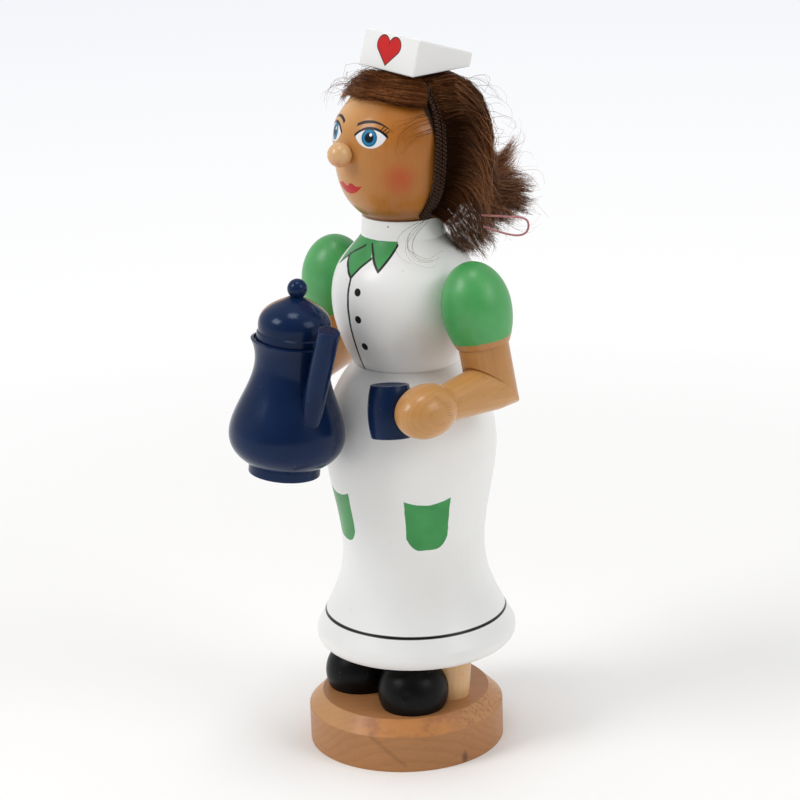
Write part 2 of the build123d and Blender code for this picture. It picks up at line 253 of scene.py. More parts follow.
def insideRing(u, v, points):
    # circle through three points
    (ax, ay), (bx, by), (cx, cy) = points
    a2, b2, c2 = ax * ax + ay * ay, bx * bx + by * by, cx * cx + cy * cy
    d = 2 * (ax * (by - cy) + bx * (cy - ay) + cx * (ay - by))
    px = (a2 * (by - cy) + b2 * (cy - ay) + c2 * (ay - by)) / d
    py = (a2 * (cx - bx) + b2 * (ax - cx) + c2 * (bx - ax)) / d
    return insideDisc(u, v, (px, py), math.hypot(ax - px, ay - py))


def insidePolygon(u, v, corners):
    # convex, corners anticlockwise
    inside = None
    for (ax, ay), (bx, by) in zip(corners, corners[1:] + corners[:1]):
        length = math.hypot(bx - ax, by - ay)
        side = (v - ay) * ((bx - ax) / length) - (u - ax) * ((by - ay) / length)
        inside = side if inside is None else inside.least(side)
    return inside


def insideStroke(u, v, points, width):
    # open line of straight runs with round ends
    nearest = None
    for (ax, ay), (bx, by) in zip(points, points[1:]):
        size = (bx - ax) ** 2 + (by - ay) ** 2
        along = ((u - ax) * ((bx - ax) / size) + (v - ay) * ((by - ay) / size)).clamped()
        gap = u.hypot(u - ax - along * (bx - ax), v - ay - along * (by - ay))
        nearest = gap if nearest is None else nearest.least(gap)
    return width / 2 - nearest


def painted(distance, soft=0.12):
    return distance.ramp(-soft / 2, soft / 2)


# Thread that ties the hair: the route's points in mm, a loose loop back into the hair
pinkThread = {
    "route": [
        (15.0, 20.5, 152.8), (20.0, 26.5, 152.0), (20.6, 33.6, 150.4),
        (20.3, 33.2, 145.7), (19.9, 26.2, 146.6), (15.4, 20.8, 149.6),
    ],
    "radius": 0.3,
    "length": 0.0324,
    "colour": (0.50, 0.20, 0.21),
}


def threadFinish(facts):
    paint = Paint("pinkThread")
    twist = ((paint.x + paint.y * 0.6 + paint.z * 1.7) * 6.0).sine() * 0.5 + 0.5
    tone = paint.noise(900.0, 3.0).ramp(0.3, 0.75)
    colour = paint.blend(tone, facts["colour"], shaded(facts["colour"], 1.35))
    return paint.finish(
        Base_Color=paint.blend(twist * 0.35, colour, shaded(facts["colour"], 0.7)),
        Roughness=0.85,
        Normal=paint.bump(twist, 0.6, 0.00008),
    )


def layThread(facts):
    data = bpy.data.curves.new("hairThread", "CURVE")
    data.dimensions = "3D"
    data.bevel_depth = facts["radius"] * mm
    data.bevel_resolution = 3
    data.resolution_u = 16
    spline = data.splines.new("NURBS")
    spline.points.add(len(facts["route"]) - 1)
    for point, place in zip(spline.points, facts["route"]):
        point.co = (place[0] * mm, place[1] * mm, place[2] * mm, 1.0)
    spline.order_u = 3
    spline.use_endpoint_u = True
    data.materials.append(threadFinish(facts))
    thread = bpy.data.objects.new("hairThread", data)
    bpy.context.scene.collection.objects.link(thread)
    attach(thread, "upper_body")
    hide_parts("hair_thread")


layThread(pinkThread)
print("thread laid")


def wear(material, *nodeNames):
    for name in nodeNames:
        mesh = nodes[name].data
        mesh.materials.clear()
        mesh.materials.append(material)


# Turned wood: growth rings round a pith that lies beside the piece, with short dark flecks
woodFinish = {
    "pale": (0.60, 0.31, 0.10), "dark": (0.43, 0.19, 0.05), "fleck": (0.27, 0.115, 0.035),
    "ringWidth": 1.5, "ringWander": 5.0, "grain": 0.5, "flecks": 0.25, "roughness": 0.3, "coat": 0.3,
}
rightFinish = {**woodFinish, "pale": (0.60, 0.285, 0.075), "dark": (0.44, 0.175, 0.036)}
legFinish = {**woodFinish, "pale": (0.74, 0.47, 0.24), "dark": (0.60, 0.33, 0.14)}


def woodColour(paint, facts, grain, pith, origin):
    # across and along the grain, in mm
    way = Vector(grain).normalized()
    side = way.orthogonal().normalized()
    along = paint.reach(origin, way)
    left = paint.reach(origin, side)
    right = paint.reach(origin, way.cross(side))

    def stretched(across, length, detail, roughness=0.5):
        at = paint.combined(left * across, right * across, along * length)
        return paint.noise(1.0, detail, roughness, at)

    wander = stretched(0.06, 0.006, 3.0) - 0.5
    fromPith = paint.hypot(left - pith[0], right - pith[1])
    ring = paint.math("FRACT", (fromPith + wander * facts["ringWander"]) / facts["ringWidth"])
    ring = ring * ring * ring.ramp(1.0, 0.86)
    pores = stretched(1.6, 0.12, 4.0, 0.6)
    flecks = stretched(2.0, 0.55, 0.0).ramp(0.74, 0.82)
    cloud = (paint.noise(55.0) - 0.5) * 0.8 + 0.3
    depth = ((ring * 0.5 + (pores - 0.5) * 0.9) * facts["grain"] + cloud).clamped()
    colour = paint.layers(facts["pale"], (depth, facts["dark"]), (flecks * facts["flecks"], facts["fleck"]))
    rough = facts["roughness"] + pores * 0.12
    relief = paint.bump(pores * 0.6 - flecks * 0.5 - ring * 0.15, 0.25, 0.00006)
    return colour, rough, relief


# Fine tool marks in an arc on one side of the hand
toolMarks = {
    "centre": (33.6, -19.6, 109.5), "right": (0.669, 0.743, 0.0), "up": (-0.2155, 0.194, 0.957),
    "arc": [(2.6, 3.6), (4.6, 2.2), (5.8, 0.6), (6.2, -1.1)], "width": 1.5, "perTurn": 54.0,
    "dark": (0.27, 0.11, 0.03), "strength": 0.6,
}


def markHand(paint, colour, facts):
    u = paint.reach(facts["centre"], facts["right"])
    v = paint.reach(facts["centre"], facts["up"])
    front = paint.reach(facts["centre"], Vector(facts["right"]).cross(Vector(facts["up"]))).ramp(0.0, 1.0)
    arc = insideStroke(u, v, facts["arc"], facts["width"]).ramp(0.0, 0.2)
    ticks = (paint.math("ARCTAN2", v, u) * facts["perTurn"]).sine().ramp(0.45, 0.8)
    return paint.blend(arc * ticks * front * facts["strength"], colour, facts["dark"])


# Each stick: its nodes, finish, grain direction, pith beside its axis and a point on the axis
sticks = {
    "leftForearmWood": {
        "nodes": ["left_forearm"], "finish": woodFinish, "grain": (0.0513, -0.9985, -0.043),
        "pith": (-15.0, 13.0), "at": leftElbow, "marks": toolMarks,
    },
    "rightForearmWood": {
        "nodes": ["right_forearm"], "finish": rightFinish, "grain": (0.4321, -0.8975, -0.119),
        "pith": (17.0, -12.0), "at": rightElbow,
    },
    "leftLegWood": {
        "nodes": ["left_leg", "left_shoulder_peg"], "finish": legFinish, "grain": (0, 0, 1),
        "pith": (20.0, 14.0), "at": (13.5, 5, 20),
    },
    "rightLegWood": {
        "nodes": ["right_leg", "right_shoulder_peg"], "finish": legFinish, "grain": (0, 0, 1),
        "pith": (-18.0, 12.0), "at": (-13.5, 5, 20),
    },
}


def stickWood(name, stick):
    paint = Paint(name)
    colour, rough, relief = woodColour(paint, stick["finish"], stick["grain"], stick["pith"], stick["at"])
    if "marks" in stick:
        colour = markHand(paint, colour, stick["marks"])
    return paint.finish(
        Base_Color=colour, Roughness=rough, Normal=relief, Specular_IOR_Level=0.35,
        Coat_Weight=stick["finish"]["coat"], Coat_Roughness=0.12,
    )


for name, stick in sticks.items():
    wear(stickWood(name, stick), *stick["nodes"])


# Base disc: a flat-sawn plank, with torn grain on the chamfer, one dark streak and a knot at the foot
baseFinish = {
    **woodFinish,
    "pale": (0.475, 0.21, 0.064), "dark": (0.335, 0.132, 0.036), "fleck": (0.20, 0.072, 0.022),
    "grain": 0.7, "ringWidth": 2.2, "roughness": 0.42, "coat": 0.2,
    "plank": (0.67, 0.74, 0.0), "pith": (10.0, -30.0), "middle": (0, 0, 7),
    "radius": 28.0, "topEdge": (24.0, 23.4), "topZ": (13.0, 13.4), "topPaintedLight": (0.52, 0.24, 0.10),
    "chamferEdge": (23.6, 24.3), "chamferZ": (10.2, 10.7), "frontAt": 46.0,
    "chamferLighterFrom": (28.0, 50.0), "clear": (0.62, 0.32, 0.115),
    "flushTo": (44.0, 26.0), "flush": (0.58, 0.22, 0.045), "rust": (0.38, 0.11, 0.03),
    "tornFrom": (72.0, 86.0), "tornTo": (150.0, 125.0), "torn": (0.36, 0.13, 0.06),
    "streak": ((12.0, -25.0, 10.7), (20.1, -19.5, 2.2)), "streakWidth": 0.5,
    "knot": (27.8, -3.4, 1.6), "knotSize": (0.9, 1.7), "knotDark": (0.09, 0.033, 0.010),
}


def baseWood(facts):
    paint = Paint("baseWood")
    wood, rough, relief = woodColour(paint, facts, facts["plank"], facts["pith"], facts["middle"])
    radius = paint.hypot(paint.x, paint.y)
    bearing = paint.bearing((0.0, 0.0))
    # painted light: the top face is made paler, for the light it catches
    top = radius.ramp(*facts["topEdge"]) * paint.z.ramp(*facts["topZ"])
    # the chamfer is lighter away from the front, flushed in front and torn where the grain ends
    chamfer = paint.z.ramp(*facts["chamferZ"]) * radius.ramp(*facts["chamferEdge"])
    turned = abs(paint.math("WRAP", bearing - facts["frontAt"], 180.0, -180.0))
    front = chamfer * turned.ramp(*facts["flushTo"])
    patches = paint.noise(190.0, 3.0, 0.6)
    speckle = paint.noise(900.0, 4.0, 0.65).ramp(0.46, 0.64)
    torn = chamfer * speckle * bearing.ramp(*facts["tornFrom"]) * bearing.ramp(*facts["tornTo"])

    def onRim(x, y, z):
        return (math.atan2(x, -y) * facts["radius"], z)

    rim = bearing * math.radians(facts["radius"])
    wobble = (paint.noise(220.0) - 0.5) * 1.4
    ends = [onRim(*end) for end in facts["streak"]]
    streak = insideStroke(rim + wobble, paint.z, ends, facts["streakWidth"]).ramp(-0.7, 0.25)
    knot = insideDisc(rim + wobble * 0.5, paint.z, onRim(*facts["knot"]), *facts["knotSize"]).ramp(-0.5, 0.5)
    colour = paint.layers(
        wood, (top * 0.4, facts["topPaintedLight"]),
        (chamfer * turned.ramp(*facts["chamferLighterFrom"]) * 0.55, facts["clear"]),
        (front * patches.ramp(0.35, 0.6) * 0.75, facts["flush"]),
        (front * patches.ramp(0.5, 0.36) * 0.55, facts["rust"]),
        (torn * 0.7, facts["torn"]), (streak * 0.45, facts["fleck"]), (knot * 0.75, facts["knotDark"]),
    )
    return paint.finish(
        Base_Color=colour, Roughness=rough + torn * 0.25, Normal=paint.bump(torn, 0.5, 0.00012, relief),
        Coat_Weight=facts["coat"], Coat_Roughness=0.2,
    )


wear(baseWood(baseFinish), "base_disc")


# Head: lacquered wood with a painted doll's face; degrees round the head and heights in mm
faceFinish = {
    **woodFinish,
    "pale": (0.475, 0.175, 0.028), "dark": (0.36, 0.115, 0.013), "grain": 0.25, "flecks": 0.1,
    "pith": (21.0, -17.0),
    "degree": 0.319,  # mm of head surface to a degree
    "centre": -3.6,
    # painted light and shade: a paler front for the bounce light from below, darker temples towards the
    # hair, a highlight on the forehead and shade under the chin
    "frontPaintedLight": (0.62, 0.335, 0.115), "frontTurn": (34.0, -30.0),
    "templePaintedShade": (0.29, 0.085, 0.010), "templeTurn": (30.0, 62.0), "templeZ": (171.0, 181.0),
    "foreheadPaintedHighlight": (0.86, 0.52, 0.22), "foreheadTurn": (12.0, -34.0), "foreheadZ": (179.5, 186.0),
    "chinZ": (158.6, 156.2),
    "blush": (49.5, 167.2), "blushSize": (20.0, 6.6), "rouge": (0.46, 0.062, 0.005),
    "eyeTop": [(9.5, 178.95), (23.4, 180.95), (39.9, 178.96)],
    "eyeLow": [(9.5, 178.95), (24.5, 175.7), (39.9, 178.96)],
    "iris": (23.9, 178.5), "irisRadius": 2.35, "pupilRadius": 1.35,
    "glint": (1.4, 179.3), "glintRadius": 0.42, "glintWhite": (0.95, 0.95, 0.95),
    "white": (0.80, 0.80, 0.82), "blue": (0.012, 0.18, 0.35), "navy": (0.002, 0.004, 0.010),
    "lidWidth": 0.33, "lidPast": 0.35, "lashWidth": 0.28, "black": (0.003, 0.003, 0.003),
    "lashes": [
        [(33.4, 180.3), (37.2, 181.4)], [(35.4, 179.9), (39.6, 180.9)], [(37.4, 179.4), (41.8, 180.3)],
    ],
    "browTop": [(9.3, 181.9), (20.5, 182.85), (43.2, 180.6)],
    "browLow": [(9.3, 181.05), (20.5, 182.1), (43.2, 180.45)],
    "brow": (0.012, 0.005, 0.004),
    "lipTop": [
        (-31.0, 164.7), (-24.5, 164.45), (-17.8, 165.1), (-11.0, 164.25), (-3.8, 165.2), (3.5, 164.55),
        (10.0, 164.95),
    ],
    "lipLow": [(-31.0, 164.7), (-10.0, 162.0), (10.0, 164.95)],
    "lipSpan": (161.0, 167.0), "lip": (0.50, 0.010, 0.010),
    # painted shade on the head under the hair
    "underHairShade": (0.035, 0.014, 0.007), "underHairShadeFrom": 1.2, "underHairShadeZ": (154.5, 155.5),
}


def faceGround(paint, facts, turn, mirrored, colour):
    z = paint.z
    [blushAt, (wide, tall)] = unrolled([facts["blush"], facts["blushSize"]], facts["degree"])
    soft = (insideDisc(mirrored, z, blushAt, wide, tall) / min(wide, tall)).ramp(0.0, 0.95)
    dust = paint.noise(600.0, 3.0).ramp(0.2, 0.8) * 0.35 + 0.65
    # painted light and shade over the wood: paler front, darker temples, forehead highlight and shade under
    # the chin; then the blush, which is paint
    return paint.layers(
        colour, (turn.ramp(*facts["frontTurn"]) * 0.75, facts["frontPaintedLight"]),
        (turn.ramp(*facts["templeTurn"]) * z.ramp(*facts["templeZ"]) * 0.45, facts["templePaintedShade"]),
        (turn.ramp(*facts["foreheadTurn"]) * z.ramp(*facts["foreheadZ"]) * 0.7, facts["foreheadPaintedHighlight"]),
        (z.ramp(*facts["chinZ"]) * 0.5, shaded(facts["dark"], 0.45)),
        (soft * soft * (3.0 - 2.0 * soft) * dust, facts["rouge"]),
    )


def paintEyes(paint, facts, straight, mirrored, colour):
    z, degree = paint.z, facts["degree"]

    def ring(name):
        return insideRing(mirrored, z, unrolled(facts[name], degree))

    upper, lower = ring("eyeTop"), ring("eyeLow")
    eye = upper.least(lower)
    [irisAt] = unrolled([facts["iris"]], degree)
    iris = insideDisc(mirrored, z, irisAt, facts["irisRadius"])
    pupil = insideDisc(mirrored, z, irisAt, facts["pupilRadius"])
    inEye = painted(eye.least(iris))
    rays = paint.noise(900.0).ramp(0.3, 0.7)
    deepBlue, paleBlue = shaded(facts["blue"], 0.45), shaded(facts["blue"], 1.7)
    blue = paint.layers(facts["blue"], (rays * 0.3, paleBlue), (iris.ramp(0.55, 0.1), deepBlue))
    glints = []
    for way in (1, -1):
        middle = (facts["centre"] + way * facts["iris"][0] + facts["glint"][0]) * degree
        glints.append(insideDisc(straight, z, (middle, facts["glint"][1]), facts["glintRadius"]))
    lid = (facts["lidWidth"] - abs(upper)).least(lower + facts["lidPast"])
    for lash in facts["lashes"]:
        lid = lid.most(insideStroke(mirrored, z, unrolled(lash, degree), facts["lashWidth"]))
    lid = painted(lid)
    browFrom = facts["browTop"][0][0] * degree
    brow = painted(ring("browTop").least(-ring("browLow"), mirrored - browFrom))
    colour = paint.layers(
        colour, (painted(eye), facts["white"]), (inEye, blue),
        (painted(eye.least(pupil), 0.3), facts["navy"]),
        (painted(glints[0].most(glints[1])), facts["glintWhite"]),
        (lid, facts["black"]), (brow, facts["brow"]),
    )
    return colour, lid.most(brow, inEye)


def paintLips(paint, facts, turn, straight, colour):
    # between a bowed upper line and a round lower one
    first, last = facts["lipTop"][0][0], facts["lipTop"][-1][0]
    low, high = facts["lipSpan"]
    bends = [((a - first) / (last - first), (b - low) / (high - low)) for a, b in facts["lipTop"]]
    bow = paint.node("ShaderNodeFloatCurve", {"bends": bends}, {"Value": turn.ramp(first, last)})
    under = insideRing(straight, paint.z, unrolled(facts["lipLow"], facts["degree"]))
    lips = painted(under.least(bow * (high - low) + low - paint.z))
    tone = paint.noise(500.0).ramp(0.35, 0.75)
    red = paint.blend(tone * 0.25, facts["lip"], shaded(facts["lip"], 0.7))
    return paint.blend(lips, colour, red), lips


def faceWood(facts):
    paint = Paint("faceWood")
    colour, rough, relief = woodColour(paint, facts, (0, 0, 1), facts["pith"], headCentre)
    turn = paint.bearing()
    mirrored = abs(turn - facts["centre"]) * facts["degree"]  # both halves of the face at once
    straight = turn * facts["degree"]
    colour = faceGround(paint, facts, turn, mirrored, colour)
    colour, ink = paintEyes(paint, facts, straight, mirrored, colour)
    colour, lips = paintLips(paint, facts, turn, straight, colour)
    # painted shade under the hair, behind the weft: darker, rougher and without coat
    behind = (paint.y - facts["underHairShadeFrom"] + paint.noise(300.0) * 0.8).ramp(-0.4, 0.4)
    behind = behind * paint.z.ramp(*facts["underHairShadeZ"])
    colour = paint.blend(behind, colour, facts["underHairShade"])
    return paint.finish(
        Base_Color=colour, Roughness=rough + behind * 0.35, Normal=relief, Specular_IOR_Level=0.24,
        Coat_Weight=facts["coat"] * (1.0 - behind.most(ink, lips)), Coat_Roughness=0.12,
    )


wear(faceWood(faceFinish), "head")


# Nose: paler wood, pink underneath
noseFinish = {
    **woodFinish,
    "pale": (0.70, 0.42, 0.19), "dark": (0.59, 0.32, 0.13), "grain": 0.25, "flecks": 0.1,
    "pink": (0.62, 0.22, 0.11), "pinkZ": (173.6, 170.6),
    "way": (-0.07, -1, 0), "pith": (5.0, 9.0), "at": (0, 5, 173.5),
}


def noseWood(facts):
    paint = Paint("noseWood")
    colour, rough, relief = woodColour(paint, facts, facts["way"], facts["pith"], facts["at"])
    colour = paint.blend(paint.z.ramp(*facts["pinkZ"]) * 0.65, colour, facts["pink"])
    return paint.finish(
        Base_Color=colour, Roughness=rough, Normal=relief, Coat_Weight=facts["coat"], Coat_Roughness=0.1
    )


wear(noseWood(noseFinish), "nose")
print("wood done")


# White gloss paint, a little uneven over the turned wood, with green and black details
whiteFinish = {
    "white": (0.88, 0.88, 0.865), "shade": (0.82, 0.815, 0.795), "speck": (0.45, 0.43, 0.4),
    "green": (0.05, 0.33, 0.085), "deepGreen": (0.032, 0.25, 0.058), "black": (0.004, 0.004, 0.004),
    "roughness": 0.3, "coat": 0.16, "specular": 0.32,
}


def whiteGround(paint, facts):
    cloud = paint.noise(45.0, 3.0)
    speck = paint.noise(520.0, 1.0).ramp(0.775, 0.80)
    shade = cloud.ramp(0.35, 0.8) * 0.6
    colour = paint.layers(facts["white"], (shade, facts["shade"]), (speck * 0.18, facts["speck"]))
    lathe = paint.noise(1.0, at=paint.combined(0.0, 0.0, paint.z * 1.1))
    rough = facts["roughness"] + cloud * 0.12
    relief = paint.bump(lathe * 0.5 + paint.noise(90.0, 1.0) * 0.5, 0.05, 0.0002)
    return colour, rough, relief


def greenOf(paint, facts, scale=140.0):
    return paint.blend(paint.noise(scale, 3.0).ramp(0.3, 0.75), facts["green"], facts["deepGreen"])


# Details stand a little proud of the white, and where the paint is bare there is no coat
def whiteDone(paint, facts, colour, rough, relief, raised, bare, coatRoughness=0.15):
    return paint.finish(
        Base_Color=colour, Roughness=rough, Normal=paint.bump(raised, 0.25, 0.00008, relief),
        Specular_IOR_Level=facts["specular"], Coat_Weight=(1.0 - bare) * facts["coat"],
        Coat_Roughness=coatRoughness,
    )


# Bodice: the green kerchief, the front line and three buttons
bodicePaint = {
    "degree": 0.30, "buttonDegree": 0.345,  # mm of surface to a degree
    "wing": [(-46.3, 148.6), (-35.2, 141.3), (-6.0, 147.1), (-6.0, 149.2)],
    "middle": [(-26.4, 144.5), (-3.3, 139.1), (11.9, 144.4), (2.0, 149.2), (-8.0, 149.2)],
    "lapel": [(0.0, 148.9), (23.3, 141.6), (39.9, 147.9), (39.9, 149.2), (0.0, 149.2)],
    "kerchiefTop": 148.75,
    "lines": [
        [(-3.3, 139.3), (-2.7, 133.7), (-2.2, 127.9), (-1.75, 121.0), (-3.25, 114.8), (-4.5, 112.0)],
        [(-35.7, 141.2), (-20.0, 145.1), (-6.0, 147.1)],
        [(-25.9, 144.2), (-14.0, 141.5), (-3.3, 139.1)],
        [(-3.3, 139.1), (4.0, 142.2), (11.9, 144.4)],
        [(3.6, 147.7), (12.5, 145.2), (23.3, 141.5), (31.5, 144.7), (39.9, 147.9)],
    ],
    "lineWidth": 0.7,
    # degrees, height and radius of three buttons and a speck
    "dots": [(7.2, 135.8, 1.08), (7.6, 128.2, 1.08), (9.1, 120.2, 1.08), (26.3, 152.67, 0.28)],
    "waver": 0.35, "seatZ": (113.0, 112.3), "seatShade": (0.35, 0.32, 0.28),
}


def bodiceFinish(facts, art):
    paint = Paint("bodicePaint")
    white, rough, relief = whiteGround(paint, facts)
    turn = paint.bearing()
    waver = (paint.noise(330.0) - 0.5) * art["waver"]  # brush-drawn edges
    u = turn * art["degree"] + waver
    z = paint.z + waver

    def cloth(name):
        return insidePolygon(u, z, unrolled(art[name], art["degree"]))

    kerchief = cloth("wing").most(cloth("middle"), cloth("lapel")).least(art["kerchiefTop"] - z)
    strokes = [insideStroke(u, z, unrolled(line, art["degree"]), art["lineWidth"]) for line in art["lines"]]
    for a, b, radius in art["dots"]:
        centre = (a * art["buttonDegree"], b)
        strokes.append(insideDisc(turn * art["buttonDegree"], paint.z, centre, radius))
    ink = painted(strokes[0].most(*strokes[1:]), 0.16)
    colour = paint.layers(
        white, (painted(kerchief), greenOf(paint, facts)), (ink, facts["black"]),
        (paint.z.ramp(*art["seatZ"]) * 0.35, art["seatShade"]),
    )
    return whiteDone(paint, facts, colour, rough, relief, painted(kerchief, 0.5) + ink, ink)


wear(bodiceFinish(whiteFinish, bodicePaint), "bodice")


# Skirt: two green pockets and a black line above the hem
skirtPaint = {
    "centre": 19.4, "pocket": 39.0, "degree": 0.38, "halfWidth": 6.2, "topZ": 76.3, "topSag": 1.4,
    "lowZ": 62.2, "lowRise": 3.9, "middleZ": 70.0, "flare": 0.015, "waver": 0.5,
    "hemLineZ": 38.2, "hemLineWidth": 0.78, "hemWaver": 0.5, "hemSwell": 0.25,
}


def skirtFinish(facts, art):
    paint = Paint("skirtPaint")
    white, rough, relief = whiteGround(paint, facts)
    waver = (paint.noise(280.0) - 0.5) * art["waver"]
    u = abs((abs(paint.bearing() - art["centre"]) - art["pocket"]) * art["degree"] + waver)
    z = paint.z + waver
    share = u / art["halfWidth"]
    square = share * share
    top = art["topZ"] + art["topSag"] * square
    low = art["lowZ"] + art["lowRise"] * square * square
    pocket = (art["halfWidth"] - u + (z - art["middleZ"]) * art["flare"]).least(top - z, z - low)
    width = art["hemLineWidth"] / 2 + (paint.noise(60.0, 1.0) - 0.5) * art["hemSwell"]
    hemZ = paint.z + (paint.noise(25.0, 1.0) - 0.5) * art["hemWaver"]
    ink = painted(width - abs(hemZ - art["hemLineZ"]), 0.16)
    colour = paint.layers(white, (painted(pocket), greenOf(paint, facts)), (ink, facts["black"]))
    return whiteDone(paint, facts, colour, rough, relief, painted(pocket, 0.5) + ink, ink)


wear(skirtFinish(whiteFinish, skirtPaint), "skirt")


# Cap: a plain red heart with a dark edge on the front
capPaint = {
    "heartAt": (-0.1, 199.6), "tilt": math.radians(3.7), "lobe": (2.25, 1.25), "lobeRadius": 2.5,
    "tip": -4.3, "half": 0.5, "edge": 0.3, "frontY": (3.6, 3.4),
    "red": (0.60, 0.005, 0.006), "dark": (0.06, 0.012, 0.012),
}


def capFinish(facts, art):
    paint = Paint("capPaint")
    white, rough, relief = whiteGround(paint, facts)
    across = paint.x - art["heartAt"][0]
    rise = paint.z - art["heartAt"][1]
    side = abs(across * math.cos(art["tilt"]) - rise * math.sin(art["tilt"]))
    tall = rise * math.cos(art["tilt"]) + across * math.sin(art["tilt"])
    # a round lobe and a wedge that runs from where its side leaves the lobe to the tip
    lobeX, lobeZ = art["lobe"]
    reach = math.hypot(lobeX, lobeZ - art["tip"])
    slant = math.atan2(lobeZ - art["tip"], lobeX) - math.asin(art["lobeRadius"] / reach)
    edge = math.sqrt(reach**2 - art["lobeRadius"] ** 2)
    touch = (edge * math.cos(slant), art["tip"] + edge * math.sin(slant))
    wedge = [(-art["half"], art["tip"]), (0.0, art["tip"]), touch, art["lobe"], (-art["half"], lobeZ)]
    heart = insideDisc(side, tall, art["lobe"], art["lobeRadius"]).most(insidePolygon(side, tall, wedge))
    front = paint.y.ramp(*art["frontY"])
    red = paint.blend(paint.noise(300.0).ramp(0.35, 0.7) * 0.3, art["red"], shaded(art["red"], 0.6))
    shown = painted(heart) * front
    colour = paint.layers(white, (shown, art["dark"]), (painted(heart - art["edge"]) * front, red))
    return whiteDone(paint, facts, colour, rough, relief, painted(heart, 0.4) * front, shown, 0.12)


wear(capFinish(whiteFinish, capPaint), "nurse_cap")
print("white paint done")


# Sleeves: green paint over the shoulder, bare wood from the sleeve's lip on
sleeveFinish = {
    **woodFinish,
    "pale": (0.54, 0.255, 0.072), "dark": (0.38, 0.155, 0.036),
    "green": (0.075, 0.38, 0.105), "deepGreen": (0.05, 0.30, 0.072), "rub": (0.30, 0.40, 0.16),
    "lip": 21.5, "rubFrom": 1.6, "paintRoughness": 0.4, "coat": 0.14,
}
leftSleeve = {**sleeveFinish, "shoulder": (27.5, 3, 144.9), "elbow": leftElbow, "pith": (16.0, 12.0)}
rightSleeve = {
    **sleeveFinish, "pale": rightFinish["pale"], "dark": rightFinish["dark"],
    "shoulder": (-26.8, 3, 143.8), "elbow": rightElbow, "pith": (-14.0, 13.0),
}


def sleevePaint(name, facts):
    way = (Vector(facts["elbow"]) - Vector(facts["shoulder"])).normalized()
    paint = Paint(name)
    wood, woodRough, woodRelief = woodColour(paint, facts, way, facts["pith"], facts["elbow"])
    along = paint.reach(facts["shoulder"], way)
    brush = (paint.noise(350.0) - 0.5) * 0.5
    mask = (along + brush).ramp(facts["lip"] - 0.15, facts["lip"] - 0.4)
    rub = paint.noise(500.0, 3.0).ramp(0.66, 0.74)
    rub = rub * along.ramp(facts["lip"] - facts["rubFrom"], facts["lip"] - 0.4)
    green = paint.blend(rub * 0.5, greenOf(paint, facts, 120.0), facts["rub"])
    relief = paint.bump(mask + paint.noise(180.0, 3.0) * 0.4, 0.15, 0.00012, woodRelief)
    return paint.finish(
        Base_Color=paint.blend(mask, wood, green), Normal=relief,
        Roughness=woodRough * (1.0 - mask) + mask * facts["paintRoughness"],
        Coat_Weight=facts["coat"], Coat_Roughness=0.22,
    )


wear(sleevePaint("leftSleeve", leftSleeve), "left_upper_arm")
wear(sleevePaint("rightSleeve", rightSleeve), "right_upper_arm")


# Dark blue gloss on pot and cup; the lid has a line of bare wood across its far side
blueFinish = {
    "blue": (0.006, 0.020, 0.070), "deep": (0.003, 0.010, 0.038), "rub": (0.05, 0.075, 0.14),
    "wood": (0.30, 0.13, 0.04), "roughness": 0.12, "sheen": (0.72, 0.82, 1.0),
}
lidFinish = {
    **blueFinish, "bareFrom": (-4.2, -31.9, 130.0), "bareWay": (-0.769, 0.639, 0.0), "bare": (-0.8, 0.9),
    "bareLowZ": (128.0, 129.5), "bareTopZ": (137.5, 136.5),
}
cupFinish = {**blueFinish, "roughness": 0.2}


def bluePaint(name, facts):
    paint = Paint(name)
    cloud = paint.noise(60.0)
    specks = paint.noise(800.0).ramp(0.735, 0.76)
    coats = [(cloud.ramp(0.3, 0.75), facts["deep"]), (specks * 0.5, facts["rub"])]
    if "bare" in facts:
        low, high = facts["bare"]
        reach = paint.reach(facts["bareFrom"], facts["bareWay"]) + (paint.noise(400.0) - 0.5) * 1.2
        bare = painted((reach - low).least(high - reach), 0.4)
        bare = bare * paint.z.ramp(*facts["bareLowZ"]) * paint.z.ramp(*facts["bareTopZ"])
        coats.append((bare, facts["wood"]))
    return paint.finish(
        Base_Color=paint.layers(facts["blue"], *coats),
        Roughness=facts["roughness"] + cloud * 0.12 + specks * 0.3,
        Normal=paint.bump(paint.noise(70.0) + specks * 0.4, 0.06, 0.0002),
        Specular_IOR_Level=0.22, Specular_Tint=facts["sheen"],
    )


wear(bluePaint("potBlue", blueFinish), "pot_body", "pot_spout")
wear(bluePaint("lidBlue", lidFinish), "pot_lid")
wear(bluePaint("cupBlue", cupFinish), "cup")


# Black gloss shoes with the turning mark at each toe; the right shoe mirrors the left
shoeFinish = {
    "black": (0.004, 0.004, 0.004), "dust": (0.05, 0.05, 0.05), "toe": (17.1, -15.5, 20.9),
    "way": (0.588, -0.809, 0.0), "dimple": (1.3, 0.1), "rings": 5.0, "ringsTo": (4.5, 0.4),
}


def shoePaint(name, facts, side):
    paint = Paint(name)
    x, y, z = facts["toe"]
    wayX, wayY, wayZ = facts["way"]
    way = Vector((side * wayX, wayY, wayZ)).normalized()
    level = way.orthogonal().normalized()
    toe = (side * x, y, z)
    radius = paint.hypot(paint.reach(toe, level), paint.reach(toe, way.cross(level)))
    rings = (radius * facts["rings"]).sine() * radius.ramp(*facts["ringsTo"])
    dimple = radius.ramp(*facts["dimple"])
    dust = paint.noise(700.0, 3.0).ramp(0.68, 0.74)
    relief = rings * 0.15 - dimple * 1.6 + paint.noise(140.0, 3.0) * 0.4
    return paint.finish(
        Base_Color=paint.blend(dust * 0.5, facts["black"], facts["dust"]), Roughness=0.34 + dust * 0.2,
        Normal=paint.bump(relief, 0.5, 0.0003), Specular_IOR_Level=0.13,
    )


